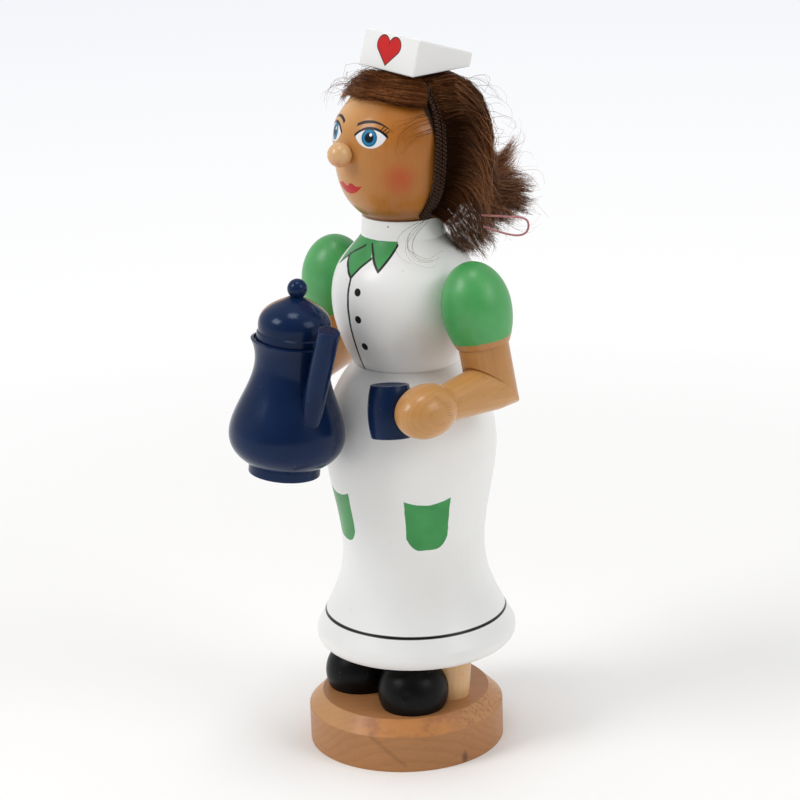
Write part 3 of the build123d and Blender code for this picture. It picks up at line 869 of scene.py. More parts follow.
wear(shoePaint("leftShoePaint", shoeFinish, 1), "left_shoe")
wear(shoePaint("rightShoePaint", shoeFinish, -1), "right_shoe")


# Pad under the cap, near black partly for its dark glue and partly as painted shade under the cap, and the
# pressed tin dish
padFinish = {"glueAndShade": (0.016, 0.011, 0.009), "lint": (0.05, 0.035, 0.026)}
tinFinish = {"tin": (0.62, 0.61, 0.58), "soot": (0.08, 0.06, 0.05), "spun": 40.0}


def padFelt(facts):
    paint = Paint("padFelt")
    lint = paint.noise(1400.0, 5.0, 0.7)
    return paint.finish(
        Base_Color=paint.blend(lint.ramp(0.4, 0.75), facts["glueAndShade"], facts["lint"]),
        Roughness=0.75 + lint * 0.2, Normal=paint.bump(lint, 0.8, 0.0004),
    )


def pressedTin(facts):
    paint = Paint("pressedTin")
    soot = paint.noise(260.0, 4.0, 0.6).ramp(0.5, 0.75)
    radius = paint.hypot(paint.x - figureAxis[0], paint.y - figureAxis[1])
    spun = (radius * facts["spun"]).sine() * 0.5 + 0.5
    return paint.finish(
        Base_Color=paint.blend(soot * 0.6, facts["tin"], facts["soot"]), Metallic=1.0 - soot * 0.5,
        Roughness=0.28 + soot * 0.35 + spun * 0.06, Normal=paint.bump(spun, 0.1, 0.00005),
    )


wear(padFelt(padFinish), "cap_pad")
wear(pressedTin(tinFinish), "incense_dish")
print("paints done")


# Hair: strands grown along guide lines by Geometry Nodes
hairLook = {
    "root": (0.014, 0.0045, 0.0015), "tip": (0.105, 0.034, 0.011), "warm": (0.26, 0.095, 0.032),
    "pale": (0.52, 0.25, 0.115), "glint": (0.86, 0.80, 0.78), "roughness": 0.28,
    "crownZ": (191.0, 182.0), "glintY": (4.0, 14.0), "coat": 0.7,
}


def hairFinish(facts):
    paint = Paint("hairStrands")
    tone = paint.attribute("strandTone")
    along = paint.attribute("strandAlong")
    # painted sheen: the tips of the lighter strands are made paler
    tips = along.ramp(0.5, 0.8) * tone.ramp(0.36, 0.85) * 0.75
    # painted shade: darkest next to the weft, less so on the crown
    deep = along.ramp(0.36, 0.08) * (paint.z.ramp(*facts["crownZ"]) * 0.75 + 0.2)
    colour = paint.layers(
        facts["tip"], (tone.ramp(0.45, 0.85), facts["warm"]), (tone.ramp(0.84, 1.0) * 0.9, facts["pale"]),
        (tone.ramp(0.5, 0.05) * 0.85, facts["root"]), (tips, facts["pale"]), (deep, facts["root"]),
    )
    shine = along.ramp(0.45, 0.85) * tone.ramp(0.4, 0.75) * paint.y.ramp(*facts["glintY"])
    return paint.finish(
        Base_Color=colour, Roughness=facts["roughness"] + tone * 0.1, Specular_IOR_Level=0.08,
        Specular_Tint=facts["pale"], Coat_Weight=shine * facts["coat"], Coat_Roughness=0.07,
    )


def glintFinish(facts):
    paint = Paint("hairGlints")
    dashes = paint.noise(700.0, 2.0, 0.6).ramp(0.5, 0.58)
    bright = dashes * paint.attribute("strandTone").ramp(0.1, 0.5)
    return paint.finish(Base_Color=paint.blend(bright, facts["tip"], facts["glint"]), Roughness=0.3)


hairMaterial = hairFinish(hairLook)
glintMaterial = glintFinish(hairLook)


def smoothLine(points, count):
    # a smooth line through all the points
    points = np.array(points, float)
    padded = np.vstack([2 * points[0] - points[1], points, 2 * points[-1] - points[-2]])
    line = []
    for place in np.linspace(0, len(points) - 1, count):
        i = min(int(place), len(points) - 2)
        t = place - i
        a, b, c, d = padded[i : i + 4]
        bend = (2 * a - 5 * b + 4 * c - d) * t**2 + (3 * b - a - 3 * c + d) * t**3
        line.append(0.5 * (2 * b + (c - a) * t + bend))
    return np.array(line)


# A tree with one shape to start from and named inputs, and the wires of those inputs
def startTree(name, start, inputs):
    tree = bpy.data.node_groups.new(name, "GeometryNodeTree")
    tree.interface.new_socket("Geometry", in_out="OUTPUT", socket_type="NodeSocketGeometry")
    for kind, names in {"Geometry": [start], **inputs, "Material": ["Material"]}.items():
        for each in names:
            tree.interface.new_socket(each, in_out="INPUT", socket_type="NodeSocket" + kind)
    given = tree.nodes.new("NodeGroupInput")
    return Wire(tree), {socket.name: Wire(tree, socket) for socket in given.outputs if socket.name}


def tagged(wire, shape, name, domain, value):
    settings = {"data_type": "FLOAT", "domain": domain}
    sockets = {"Geometry": shape, "Name": name, "Value": value}
    return wire.node("GeometryNodeStoreNamedAttribute", settings, sockets)


# Tubes round the curves, made one mesh with its material
def endTree(wire, curves, sides, thick, material):
    ring = wire.node("GeometryNodeCurvePrimitiveCircle", None, {"Resolution": sides, "Radius": 1.0})
    sockets = {"Curve": curves, "Profile Curve": ring, "Scale": thick, "Fill Caps": True}
    shape = wire.node("GeometryNodeCurveToMesh", None, sockets)
    shape = wire.node("GeometryNodeSetShadeSmooth", None, {"Geometry": shape})
    shape = wire.node("GeometryNodeRealizeInstances", None, {"Geometry": shape})
    shape = wire.node("GeometryNodeSetMaterial", None, {"Geometry": shape, "Material": material})
    end = wire.tree.nodes.new("NodeGroupOutput")
    wire.tree.links.new(shape.socket, end.inputs[0])
    return wire.tree


# How a strand wanders: drift per metre, shares of frizz and tone, thickness and stand-off as factors
strandShape = {
    "slowPace": 60.0, "quickPace": 190.0, "lockPace": 45.0, "rootFrizz": 0.15, "tame": 0.4, "unruly": 1.8,
    "unrulyPower": 4.0, "depthGather": 0.5, "lockTone": 0.32, "thickness": (0.7, 1.25), "tipThin": 0.6,
    "standOff": (1.0, 1.05), "sides": 3, "stagger": (0.731, 0.377, 0.519), "lockStep": 3.7,
}


def strandTree(facts):
    wire, asked = startTree("growStrands", "Guides", {
        "Int": ["Strands", "Guide Lines", "Line Points", "Seed"],
        "Float": [
            "Radius", "Frizz", "Clumps", "Clumping", "Shortest", "Inmost", "Wave", "Lock Drift", "Darkest",
            "Head Radius",
        ],
        "Vector": ["Head Centre"],
    })
    dots = wire.node("GeometryNodePoints", None, {"Count": asked["Strands"]})
    line = wire.node("GeometryNodeCurvePrimitiveLine")
    line = wire.node("GeometryNodeResampleCurve", None, {"Curve": line, "Count": asked["Line Points"]})
    strands = wire.node("GeometryNodeInstanceOnPoints", None, {"Points": dots, "Instance": line})
    strands = wire.node("GeometryNodeRealizeInstances", None, {"Geometry": strands})
    owner = wire.tree.nodes.new("GeometryNodeCurveOfPoint")
    strand, step = Wire(wire.tree, owner.outputs[0]), Wire(wire.tree, owner.outputs[1])
    factor = wire.node("GeometryNodeSplineParameter")
    position = wire.node("GeometryNodeInputPosition")

    def chance(shift, low=0.0, high=1.0, each=None):
        sockets = {2: low, 3: high, 7: each or strand, 8: asked["Seed"] + float(shift)}
        return wire.node("FunctionNodeRandomValue", {"data_type": "FLOAT"}, sockets, 1)

    # which guide, and how deep in the hair; tips gather in clumps
    place, depth = chance(1), wire.math("SQRT", chance(2))
    clump = wire.math("FLOOR", place * asked["Clumps"])
    gather = asked["Clumping"] * factor * factor
    place = place + ((clump + 0.5) / asked["Clumps"] - place) * gather
    depth = depth + (chance(3, each=clump) - depth) * gather * facts["depthGather"]
    depth = asked["Inmost"] + depth * (1.0 - asked["Inmost"])
    guide = place * (asked["Guide Lines"] - 1.001)
    before = wire.math("FLOOR", guide)
    share = guide - before
    layer = asked["Guide Lines"] * asked["Line Points"]

    def guidePoint(which, outer):
        index = (before + float(which)) * asked["Line Points"] + step + layer * float(outer)
        sockets = {"Geometry": asked["Guides"], "Value": position, "Index": index}
        return wire.node("GeometryNodeSampleIndex", {"data_type": "FLOAT_VECTOR"}, sockets)

    def between(mask, one, two):
        return wire.node("ShaderNodeMix", {"data_type": "VECTOR"}, {0: mask, 4: one, 5: two}, 1)

    inner = between(share, guidePoint(0, 0), guidePoint(1, 0))
    outer = between(share, guidePoint(0, 1), guidePoint(1, 1))
    spot = between(depth, inner, outer)

    # smooth wandering, a different one for each number given
    def drift(pace, number):
        shift = wire.combined(*(number * part for part in facts["stagger"]))
        near = wire.vector("ADD", wire.scaled(spot, pace), shift)
        wave = wire.node("ShaderNodeTexNoise", None, {"Vector": near, "Scale": 1.0, "Detail": 1.0}, 1)
        return wire.vector("SUBTRACT", wave, (0.5, 0.5, 0.5))

    # a few unruly strands wander most, and whole locks drift apart towards their tips
    loosened = factor * (1.0 - facts["rootFrizz"]) + facts["rootFrizz"]
    wild = chance(5) ** facts["unrulyPower"] * facts["unruly"] + facts["tame"]
    quick = wire.scaled(drift(facts["quickPace"], strand), asked["Wave"])
    wander = wire.vector("ADD", drift(facts["slowPace"], strand), quick)
    push = wire.scaled(wander, asked["Frizz"] * loosened * wild)
    spread = wire.scaled(drift(facts["lockPace"], clump * facts["lockStep"]), asked["Lock Drift"] * factor)
    spot = wire.vector("ADD", spot, wire.vector("ADD", push, spread))
    # kept off the head's ball
    out = wire.vector("SUBTRACT", spot, asked["Head Centre"])
    away = wire.vector("LENGTH", out, out=1)
    lift = (asked["Head Radius"] * chance(8, *facts["standOff"]) / away).most(1.0)
    spot = wire.vector("ADD", asked["Head Centre"], wire.scaled(out, lift))
    strands = wire.node("GeometryNodeSetPosition", None, {"Geometry": strands, "Position": spot})
    each = wire.node("GeometryNodeInputIndex")
    lock = wire.math("FLOOR", chance(1, each=each) * asked["Clumps"])
    tone = chance(7, each=each) * (1.0 - facts["lockTone"]) + chance(9, each=lock) * facts["lockTone"]
    tone = asked["Darkest"] + tone * (1.0 - asked["Darkest"])
    strands = tagged(wire, strands, "strandTone", "CURVE", tone)
    strands = tagged(wire, strands, "strandAlong", "POINT", factor)
    length = asked["Shortest"] + (1.0 - asked["Shortest"]) * chance(6, each=each)
    strands = wire.node("GeometryNodeTrimCurve", {"mode": "FACTOR"}, {0: strands, 3: length})
    thick = asked["Radius"] * (1.0 - factor * factor * facts["tipThin"]) * chance(4, *facts["thickness"])
    return endTree(wire, strands, facts["sides"], thick, asked["Material"])


growStrands = strandTree(strandShape)


def runTree(name, startMesh, tree, values):
    source = bpy.data.objects.new(name, startMesh)
    bpy.context.scene.collection.objects.link(source)
    modifier = source.modifiers.new("build", "NODES")
    modifier.node_group = tree
    for item in tree.interface.items_tree:
        if item.item_type == "SOCKET" and item.in_out == "INPUT" and item.name in values:
            modifier[item.identifier] = values[item.name]
    graph = bpy.context.evaluated_depsgraph_get()
    graph.update()
    made = bpy.data.meshes.new_from_object(source.evaluated_get(graph))
    source.modifiers.remove(modifier)
    source.data = made
    made.name = name
    return source


def setHair(piece, nodeName=None):
    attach(piece, "upper_body")
    if nodeName:
        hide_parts(nodeName)


def growHair(name, guides, facts):
    # guides: list of (inner points, outer points) in mm
    count = facts["points"]
    lines = [smoothLine(pair[layer], count) for layer in (0, 1) for pair in guides]
    mesh = bpy.data.meshes.new(name + "Guides")
    mesh.from_pydata((np.vstack(lines) * mm).tolist(), [], [])
    values = {
        "Strands": facts["strands"], "Guide Lines": len(guides), "Line Points": count, "Seed": facts["seed"],
        "Radius": facts["radius"] * mm, "Frizz": facts["frizz"] * mm, "Clumps": float(facts["clumps"]),
        "Clumping": facts["clumping"], "Shortest": facts["shortest"], "Inmost": facts["inmost"],
        "Wave": facts["wave"], "Lock Drift": facts["lockDrift"] * mm, "Darkest": facts["darkest"],
        "Head Centre": tuple(v * mm for v in headCentre), "Head Radius": facts["offHead"] * mm,
        "Material": facts.get("look", hairMaterial),
    }
    hair = runTree(name, mesh, growStrands, values)
    print(name, len(hair.data.polygons), "faces")
    return hair


def nearHead(point, centre, radius):
    return Vector(centre) + (Vector(point) - Vector(centre)).normalized() * radius


def mirrorLine(line):
    return [(-x, y, z) for x, y, z in line]


# Swept-back hair: guide lines from the weft on the left half, drawn together by the thread and then
# spreading into a tail and a lower bunch; the right half mirrors them
sweptHair = {
    "guides": [
        [(0.2, 8.5, 192.4), (0, 14, 193.6), (0, 21.6, 192.4), (0, 28.4, 185.5), (0, 30.5, 175), (0, 31, 166),
         (0.5, 34, 160.5), (1, 42, 160.5), (1.5, 48.5, 160)],
        [(10.1, 6.5, 189.9), (12.2, 13.5, 191.6), (12.9, 20.9, 188.8), (12.4, 26.6, 181),
         (10.6, 28.6, 171.5), (7.8, 29.5, 163), (6, 33.5, 158), (5.5, 42.5, 156.6), (5, 50.5, 155)],
        [(17.3, 3.4, 182.3), (20, 9.8, 183.6), (20, 16.6, 181), (18.2, 22, 174.6), (14.8, 25.2, 166.8),
         (10.5, 27.5, 160), (8.5, 31, 156), (8.2, 41.5, 152.8), (8, 50.5, 148.8)],
        [(19.9, 1.3, 172.1), (21.9, 7, 172.3), (21.2, 12.5, 169), (18.5, 18, 164), (14.5, 22.5, 158.9),
         (11.5, 26, 155.6), (10.2, 30.8, 152.8), (10, 37, 150), (10, 42.5, 147.8)],
        [(18.5, 1.3, 165), (20.8, 5, 164.5), (20.6, 9, 161.5), (18.6, 12.6, 157.5), (16.5, 15.8, 153.6),
         (15, 18.6, 149.8), (14.2, 21.2, 146), (14, 23.2, 143.4), (14, 24.8, 141.4)],
        [(13.5, 1.7, 156.3), (15.6, 4, 154.5), (16.4, 6.2, 152.2), (16.4, 8.4, 149.8), (16, 10.6, 147.6),
         (15.4, 12.8, 145.7), (15, 14.8, 144.2), (14.7, 16.4, 143), (14.5, 17.6, 142.2)],
    ],
    "strands": 2450, "points": 14, "radius": 0.075, "frizz": 8.0, "clumps": 27, "clumping": 0.8,
    "shortest": 0.8, "wave": 0.4, "lockDrift": 9.0, "offHead": 19.4, "darkest": 0.0,
    "tuck": 19.2, "tailShare": 0.45, "tailShift": (-3.5, 0.5), "tailFrom": 3, "tailOver": 2.5,
}


def innerLine(line, facts):
    # the same line laid close to the head, then gathered in the middle of the tail
    tucked = []
    for i, (x, y, z) in enumerate(line):
        tail = Vector((x * facts["tailShare"], y + facts["tailShift"][0], z + facts["tailShift"][1]))
        share = max(0.0, min(1.0, (i - facts["tailFrom"]) / facts["tailOver"]))
        tucked.append(tuple(nearHead((x, y, z), headCentre, facts["tuck"]).lerp(tail, share)))
    return tucked


leftGuides = [(innerLine(line, sweptHair), line) for line in sweptHair["guides"]]
rightGuides = [(mirrorLine(low), mirrorLine(high)) for low, high in leftGuides]
# the lowest bunch is thin, so the inner layer stops above it
for name, guides, seed, inmost, nodeName in (
    ("hairLeftOuter", leftGuides, 11, 0.45, "back_hair"), ("hairLeftInner", leftGuides[:5], 12, 0.0, None),
    ("hairRightOuter", rightGuides, 13, 0.45, None), ("hairRightInner", rightGuides[:5], 14, 0.0, None),
):
    setHair(growHair(name, guides, {**sweptHair, "seed": seed, "inmost": inmost}), nodeName)


# Fringe: combed from the weft on the figure's left across the forehead to its right
fringeHair = {
    "guides": [
        [(14.3, 0.9, 185.0), (12.2, -3, 185.8), (7.2, -6.6, 187.0), (0.7, -8.4, 187.6), (-7.6, -6.2, 188.0),
         (-13, -4.0, 187.2), (-16, -2.5, 186)],
        [(12.5, 3.0, 187.6), (10, -0.6, 188.4), (5.5, -4.4, 189.6), (-1, -5.8, 190.3), (-8, -3.6, 190.2),
         (-13.3, -1.2, 189), (-16, 0.3, 187)],
        [(10, 5.2, 189.6), (7.5, 1.9, 190.6), (3.5, -1.2, 191.8), (-2.5, -2.4, 192.4), (-8.8, -0.8, 192.0),
         (-13.3, 1, 190), (-16, 2.3, 187.6)],
        [(6.5, 6.0, 191.2), (4, 4.0, 192.1), (0.5, 2.3, 193.0), (-4.5, 1.6, 193.3), (-9.8, 2, 192.8),
         (-13.6, 3, 190.6), (-16, 4, 188)],
    ],
    "strands": 2600, "points": 13, "radius": 0.07, "frizz": 8.5, "clumps": 24, "clumping": 0.45,
    "shortest": 0.55, "inmost": 0.0, "wave": 0.4, "lockDrift": 9.0, "offHead": 19.95, "darkest": 0.05,
    "seed": 21, "tuck": 18.75, "tuckCentre": (0, 5, 172.6),
}


def fringeInner(line, facts):
    return [tuple(nearHead(point, facts["tuckCentre"], facts["tuck"])) for point in line]


fringeGuides = [(fringeInner(line, fringeHair), line) for line in fringeHair["guides"]]
setHair(growHair("hairFringe", fringeGuides, fringeHair), "fringe")


# Loose hairs that stand off the back, the forehead, the cheek and the collar, and a lock that curls out
looseLook = {
    "points": 26, "radius": 0.04, "clumps": 999, "clumping": 0.0, "inmost": 0.0, "wave": 0.12,
    "lockDrift": 0.0, "offHead": 19.2, "darkest": 0.1, "shortest": 0.45,
}
looseHair = {
    "Back": {
        **looseLook, "strands": 96, "frizz": 22.0, "seed": 31, "mirrored": True, "shortest": 0.3,
        "lines": [
            [(8, 20, 191.5), (9, 25, 192.5), (10, 29.5, 191), (11, 33, 187), (11.5, 35, 181)],
            [(13, 22, 187), (15.5, 25.5, 184), (16, 28, 178), (15, 29.5, 171), (13, 31, 165)],
            [(17, 20, 180), (18, 27, 183), (17, 34, 181), (16, 36, 175.5), (16, 31, 173), (16.5, 25, 174)],
            [(17, 22, 174), (17, 27, 170.5), (16.5, 31, 168), (15, 36, 168.5), (13, 39.5, 173)],
            [(13, 28, 166), (14, 32, 169), (14, 36, 173), (13, 37, 179), (12, 35, 184)],
            [(11, 33, 160), (12, 39, 162), (12, 45, 161), (11, 48.5, 158), (10, 50, 154)],
            [(12, 29, 153), (13, 34, 148), (14, 38, 145.5), (15, 42, 146), (16, 45, 150)],
            [(14, 20, 146), (15, 24, 141.5), (15, 29, 140), (16, 33, 141), (16, 36, 144)],
        ],
    },
    # stray hairs over the swept hair, made pale to paint the highlight streaks on it
    "Over": {
        **looseLook, "strands": 220, "frizz": 17.0, "seed": 36, "mirrored": True, "darkest": 0.75,
        "offHead": 20.8, "radius": 0.055,
        "lines": [
            [(9, 8, 191.5), (13.5, 16, 190.5), (15, 24, 183), (15, 27.5, 174), (13, 28.5, 165)],
            [(18.5, 4, 182.5), (20.8, 10, 184), (20, 18, 179.5), (16.5, 25, 170), (11, 30, 160)],
            [(20.5, 3, 173), (22.3, 9, 172), (20.4, 16, 166), (15.5, 23, 159), (12, 30, 153)],
            [(19.5, 2.5, 165.5), (21.5, 7.5, 163), (19.8, 13, 157), (17, 17, 151), (15, 21, 145)],
        ],
    },
    # stray hairs crossing the swept hair, made pale to paint highlight streaks
    "Cross": {
        **looseLook, "strands": 60, "frizz": 20.0, "seed": 37, "mirrored": True, "darkest": 0.95,
        "offHead": 22.5, "radius": 0.055,
        "lines": [
            [(12, 14, 193), (17, 17, 189), (19, 21, 182), (18, 25, 174), (14, 29, 167)],
            [(19, 9, 185.5), (21.5, 14, 180), (21, 19, 172), (18, 22, 163), (16, 24, 156)],
            [(22.4, 6, 176), (22.8, 11, 169), (21, 16, 161), (18.5, 19, 153), (17, 20, 147)],
        ],
    },
    "Glint": {
        **looseLook, "strands": 110, "frizz": 9.0, "seed": 38, "mirrored": True, "look": glintMaterial,
        "radius": 0.05, "shortest": 0.5, "darkest": 0.0,
        "lines": [
            [(19.8, 11.5, 158.6), (17.9, 15, 154.4), (16.4, 17.9, 150.6), (15.4, 20.6, 147),
             (15, 23.6, 142.8)],
            [(19.9, 7.5, 158.6), (18.6, 10.6, 155.1), (17, 13.5, 151.8), (15.8, 16.1, 148.6),
             (15, 19.6, 144.2)],
            [(18.7, 6.6, 156), (17.9, 9.4, 153), (17, 11.9, 150.2), (16, 14.4, 147.5), (15.3, 17.4, 144)],
            [(17.6, 4.6, 154.2), (17.4, 7, 151.4), (16.9, 9.4, 148.8), (16.2, 11.8, 146.6),
             (15.5, 15.2, 144)],
        ],
    },
    "Front": {
        **looseLook, "strands": 10, "frizz": 9.0, "seed": 32,
        "lines": [
            [(-10, -2, 191), (-13.2, -5.4, 190.4), (-15, -7.6, 187), (-15.6, -8.6, 182)],
            [(-12, -2, 189), (-15, -4.4, 188), (-16.2, -6.4, 184), (-16.4, -7.6, 179)],
            [(-8, -1, 192), (-11.4, -3.6, 193.6), (-13.6, -4.8, 195.4), (-15, -5.6, 197)],
        ],
    },
    "Cheek": {
        **looseLook, "strands": 18, "frizz": 15.0, "wave": 0.4, "seed": 33, "darkest": 0.3,
        "lines": [
            [(15.5, 1.0, 184.8), (13.2, -5.4, 183.2), (11.6, -8.6, 180), (12.4, -8.8, 176),
             (14.2, -8.0, 173.5)],
            [(17.0, 0.8, 182.0), (15.6, -5.4, 180.6), (14.2, -8.0, 177.5), (14.0, -8.6, 173.5),
             (15.4, -7.6, 171)],
            [(18.0, 0.8, 178.6), (17.4, -4.2, 177.4), (16.0, -6.8, 174.5), (15.8, -7.2, 170.8),
             (16.8, -5.8, 168.6)],
        ],
    },
    "Collar": {
        **looseLook, "strands": 7, "frizz": 8.0, "seed": 34, "shortest": 0.6,
        "lines": [
            [(12.4, 1.5, 155.0), (11.0, -6.2, 152.0), (11.4, -9.0, 147.5), (14.6, -7.4, 143.4),
             (18.0, -3.0, 142.2), (18.6, 2.4, 144.6)],
            [(12.8, 1.5, 154.6), (12.6, -4.6, 151.6), (13.6, -6.6, 147.6), (16.0, -5.4, 144.2),
             (18.2, -1.4, 143.4), (18.4, 3.2, 146.0)],
            [(13.4, 2.0, 153.8), (14.6, -2.0, 150.6), (15.8, -3.0, 147.4), (17.2, -1.2, 145.4),
             (18.0, 2.2, 145.6), (17.6, 6.0, 147.6)],
        ],
    },
    "Lock": {
        **looseLook, "strands": 380, "frizz": 7.0, "seed": 35, "radius": 0.06, "clumps": 7, "clumping": 0.4,
        "shortest": 0.6, "darkest": 0.35,
        "lines": [
            [(16, 24, 172), (13.5, 28, 168.5), (11.5, 32, 167), (10, 36.5, 169), (9.5, 39.5, 172)],
            [(15, 25, 168), (12, 28.5, 165), (10, 33, 164), (8.5, 38, 166), (8, 41.5, 168.5)],
            [(13.5, 26, 164), (11, 29.5, 161.5), (9, 34, 160.5), (8, 39, 161.5), (7.5, 43.5, 163.5)],
        ],
    },
}
mirrorSeed = 50  # added to a seed on the mirrored side


def looseLines(lines):
    # a strand's way out is mixed from its own line and a neighbour's, moved to its root
    pairs = []
    for i, line in enumerate(lines):
        other = lines[(i + 1) % len(lines)]
        move = Vector(line[0]) - Vector(other[0])
        pairs.append(([tuple(Vector(p) + move) for p in other], line))
    return pairs


def growLoose(name, lines, facts):
    setHair(growHair("hairLoose" + name, looseLines(lines), facts))


for name, facts in looseHair.items():
    if facts.get("mirrored"):
        left = {**facts, "strands": facts["strands"] // 2}
        right = {**left, "seed": facts["seed"] + mirrorSeed}
        growLoose(name + "Left", facts["lines"], left)
        growLoose(name + "Right", [mirrorLine(line) for line in facts["lines"]], right)
    else:
        growLoose(name, facts["lines"], facts)


# Stitched weft: two rows of a narrow plait along the arch, in the plane that faces forward
weftBand = {
    "line": [
        (12.6, -2.6, 155.3), (18.2, -2.6, 163.0), (20.1, -2.5, 172.1), (17.4, -0.5, 182.1), (10, 1, 189.5),
    ],
    "crown": (0.0, 1.6, 192.2), "turn": math.radians(-4.0), "pathPoints": 81,
    "plaits": 31.0, "wide": 0.55, "deep": 0.6, "thick": 0.4, "apart": 1.7, "rowPhase": 2.2,
    "sides": 8, "points": 560,
    "dark": (0.005, 0.0016, 0.0008), "pale": (0.038, 0.013, 0.005), "sheen": (0.95, 0.62, 0.45),
}


def weftPath(facts):
    ahead = Vector((math.sin(facts["turn"]), -math.cos(facts["turn"]), 0))
    side = Vector((math.cos(facts["turn"]), math.sin(facts["turn"]), 0))
    line = facts["line"] + [facts["crown"]] + mirrorLine(facts["line"][::-1])
    points = [Vector((*figureAxis, z)) + side * x - ahead * back for x, back, z in line]
    return smoothLine(points, facts["pathPoints"]), tuple(ahead)


def weftTree(ahead, facts):
    wire, asked = startTree("plaitWeft", "Path", {
        "Int": ["Points"], "Float": ["Plaits", "Wide", "Deep", "Thick", "Apart"],
    })
    path = wire.node("GeometryNodeMeshToCurve", None, {"Mesh": asked["Path"]})
    path = wire.node("GeometryNodeResampleCurve", None, {"Curve": path, "Count": asked["Points"]})
    factor = wire.node("GeometryNodeSplineParameter")
    tangent = wire.node("GeometryNodeInputTangent")
    outward = wire.vector("CROSS_PRODUCT", tangent, ahead)
    plaits = []
    for row, third in ((row, third) for row in (-0.5, 0.5) for third in range(3)):
        start = third * 2 * math.pi / 3 + row * facts["rowPhase"]
        phase = factor * asked["Plaits"] * (2 * math.pi) + start
        across = phase.sine() * asked["Wide"] + asked["Apart"] * row
        over = (phase * 2.0).sine() * asked["Deep"]
        push = wire.vector("ADD", wire.scaled(ahead, across), wire.scaled(outward, over))
        plaits.append(wire.node("GeometryNodeSetPosition", None, {"Geometry": path, "Offset": push}))
    band = wire.node("GeometryNodeJoinGeometry", None, {"Geometry": plaits})
    return endTree(wire, band, facts["sides"], asked["Thick"], asked["Material"])


def weftFinish(facts):
    paint = Paint("weftPlait")
    hairs = paint.noise(1.0, 3.0, 0.6, paint.combined(paint.x * 4.0, paint.y * 4.0, paint.z * 1.2))
    return paint.finish(
        Base_Color=paint.blend(hairs.ramp(0.35, 0.75), facts["dark"], facts["pale"]), Roughness=0.2,
        Normal=paint.bump(hairs, 0.8, 0.00015), Specular_IOR_Level=0.36, Specular_Tint=facts["sheen"],
    )


def plaitWeft(facts):
    path, ahead = weftPath(facts)
    mesh = bpy.data.meshes.new("weftPath")
    mesh.from_pydata((path * mm).tolist(), [(i, i + 1) for i in range(len(path) - 1)], [])
    values = {
        "Points": facts["points"], "Plaits": facts["plaits"], "Wide": facts["wide"] * mm,
        "Deep": facts["deep"] * mm, "Thick": facts["thick"] * mm, "Apart": facts["apart"] * mm,
        "Material": weftFinish(facts),
    }
    setHair(runTree("hairWeft", mesh, weftTree(ahead, facts), values), "hair_weft")


plaitWeft(weftBand)
print("hair done")


# Pale floor that fades to white, a white surround that is darker on the camera's side, and soft lamps
studio = {
    "floor": (0.975, 0.965, 0.95), "floorSize": 8.0, "floorZ": -0.00005, "fade": (0.13, 0.42),
    "nearWhite": (1.0, 1.0, 1.0), "farWhite": (0.905, 0.92, 0.956),
    "farFrom": (0.5, 1.5), "farTo": (3.8, 2.0),
    "surround": (0.985, 0.99, 1.0), "fill": 0.72,
    "cameraSide": (0.711, -0.640, 0.292), "cameraTurn": (0.3, 0.95), "cameraShade": 0.75,
    "aim": (0, 0, 0.1),
    "lamps": [
        {"name": "keyLamp", "place": (-0.35, -0.95, 0.95), "size": 0.5, "power": 6.0},
        {"name": "sideLamp", "place": (1.05, 0.25, 0.8), "size": 0.6, "power": 3.4},
        {"name": "topLamp", "place": (0.1, -0.1, 1.25), "size": 0.35, "power": 2.4},
    ],
}


# 1 for the kinds of ray that are named, else 0
def seenBy(tree, *kinds):
    rays = tree.nodes.new("ShaderNodeLightPath")
    wires = [Wire(tree, rays.outputs[kind]) for kind in kinds]
    return wires[0].most(*wires[1:])


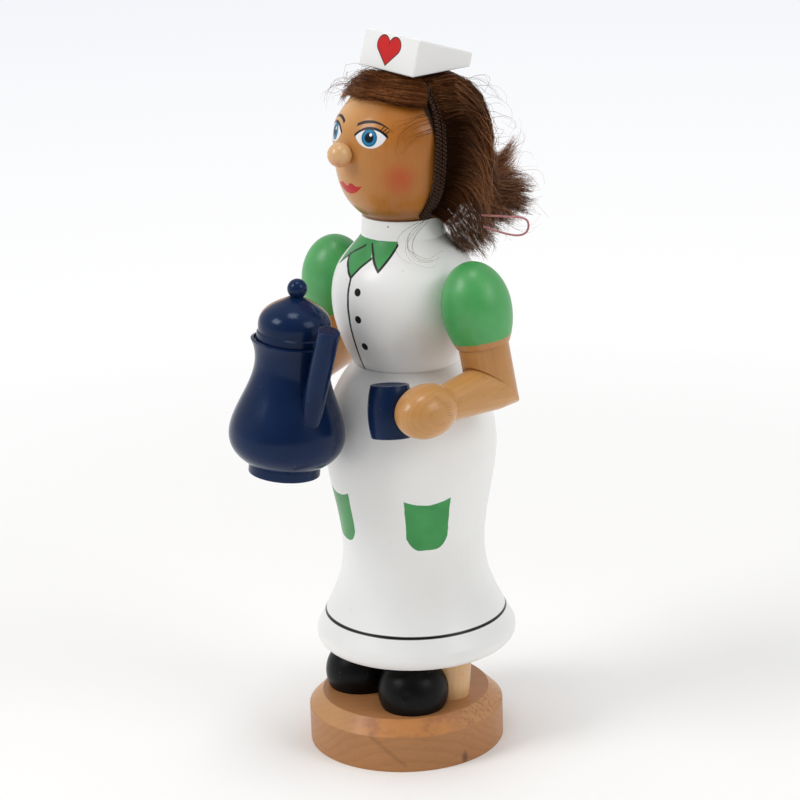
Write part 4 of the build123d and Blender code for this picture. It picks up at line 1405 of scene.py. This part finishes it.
def layFloor(facts):
    bpy.ops.mesh.primitive_plane_add(size=facts["floorSize"], location=(0, 0, facts["floorZ"]))
    floor = bpy.context.object
    floor.name = "paleFloor"
    paint = Paint("paleFloor")
    colour = paint.blend(paint.noise(9.0), facts["floor"], shaded(facts["floor"], 0.985))
    paint.finish(Base_Color=colour, Roughness=0.7, Specular_IOR_Level=0.2)
    away = paint.hypot(paint.x, paint.y) * mm
    far = away.ramp(*facts["farFrom"]) * away.ramp(*facts["farTo"])
    white = paint.blend(far, facts["nearWhite"], facts["farWhite"])
    glow = paint.node("ShaderNodeEmission", None, {"Color": white})
    seen = seenBy(paint.tree, "Is Camera Ray", "Is Glossy Ray", "Is Transmission Ray")
    surface = Wire(paint.tree, paint.shader.outputs[0])
    fade = away.ramp(*facts["fade"]) * seen
    faded = paint.node("ShaderNodeMixShader", None, {0: fade, 1: surface, 2: glow})
    out = next(n for n in paint.tree.nodes if n.type == "OUTPUT_MATERIAL")
    paint.tree.links.new(faded.socket, out.inputs["Surface"])
    floor.data.materials.append(paint.material)


def lightStudio(facts):
    scene = bpy.context.scene
    scene.view_settings.view_transform = "Standard"
    scene.world = bpy.data.worlds.new("whiteSurround")
    scene.world.use_nodes = True
    tree = scene.world.node_tree
    wire = Wire(tree)
    seen = seenBy(tree, "Is Camera Ray", "Is Transmission Ray")
    way = wire.node("ShaderNodeTexCoord", out=0)
    facing = wire.vector("DOT_PRODUCT", way, facts["cameraSide"], out=1)
    dimmed = facts["fill"] * (1.0 - facing.ramp(*facts["cameraTurn"]) * facts["cameraShade"])
    back = next(n for n in tree.nodes if n.type == "BACKGROUND")
    back.inputs["Color"].default_value = (*facts["surround"], 1.0)
    tree.links.new((seen + (1.0 - seen) * dimmed).socket, back.inputs["Strength"])
    for lamp in facts["lamps"]:
        light = bpy.data.lights.new(lamp["name"], "AREA")
        light.size = lamp["size"]
        light.energy = lamp["power"]
        holder = bpy.data.objects.new(lamp["name"], light)
        holder.location = lamp["place"]
        aim = Vector(facts["aim"]) - Vector(lamp["place"])
        holder.rotation_euler = aim.to_track_quat("-Z", "Y").to_euler()
        scene.collection.objects.link(holder)


layFloor(studio)
lightStudio(studio)
print("studio set")
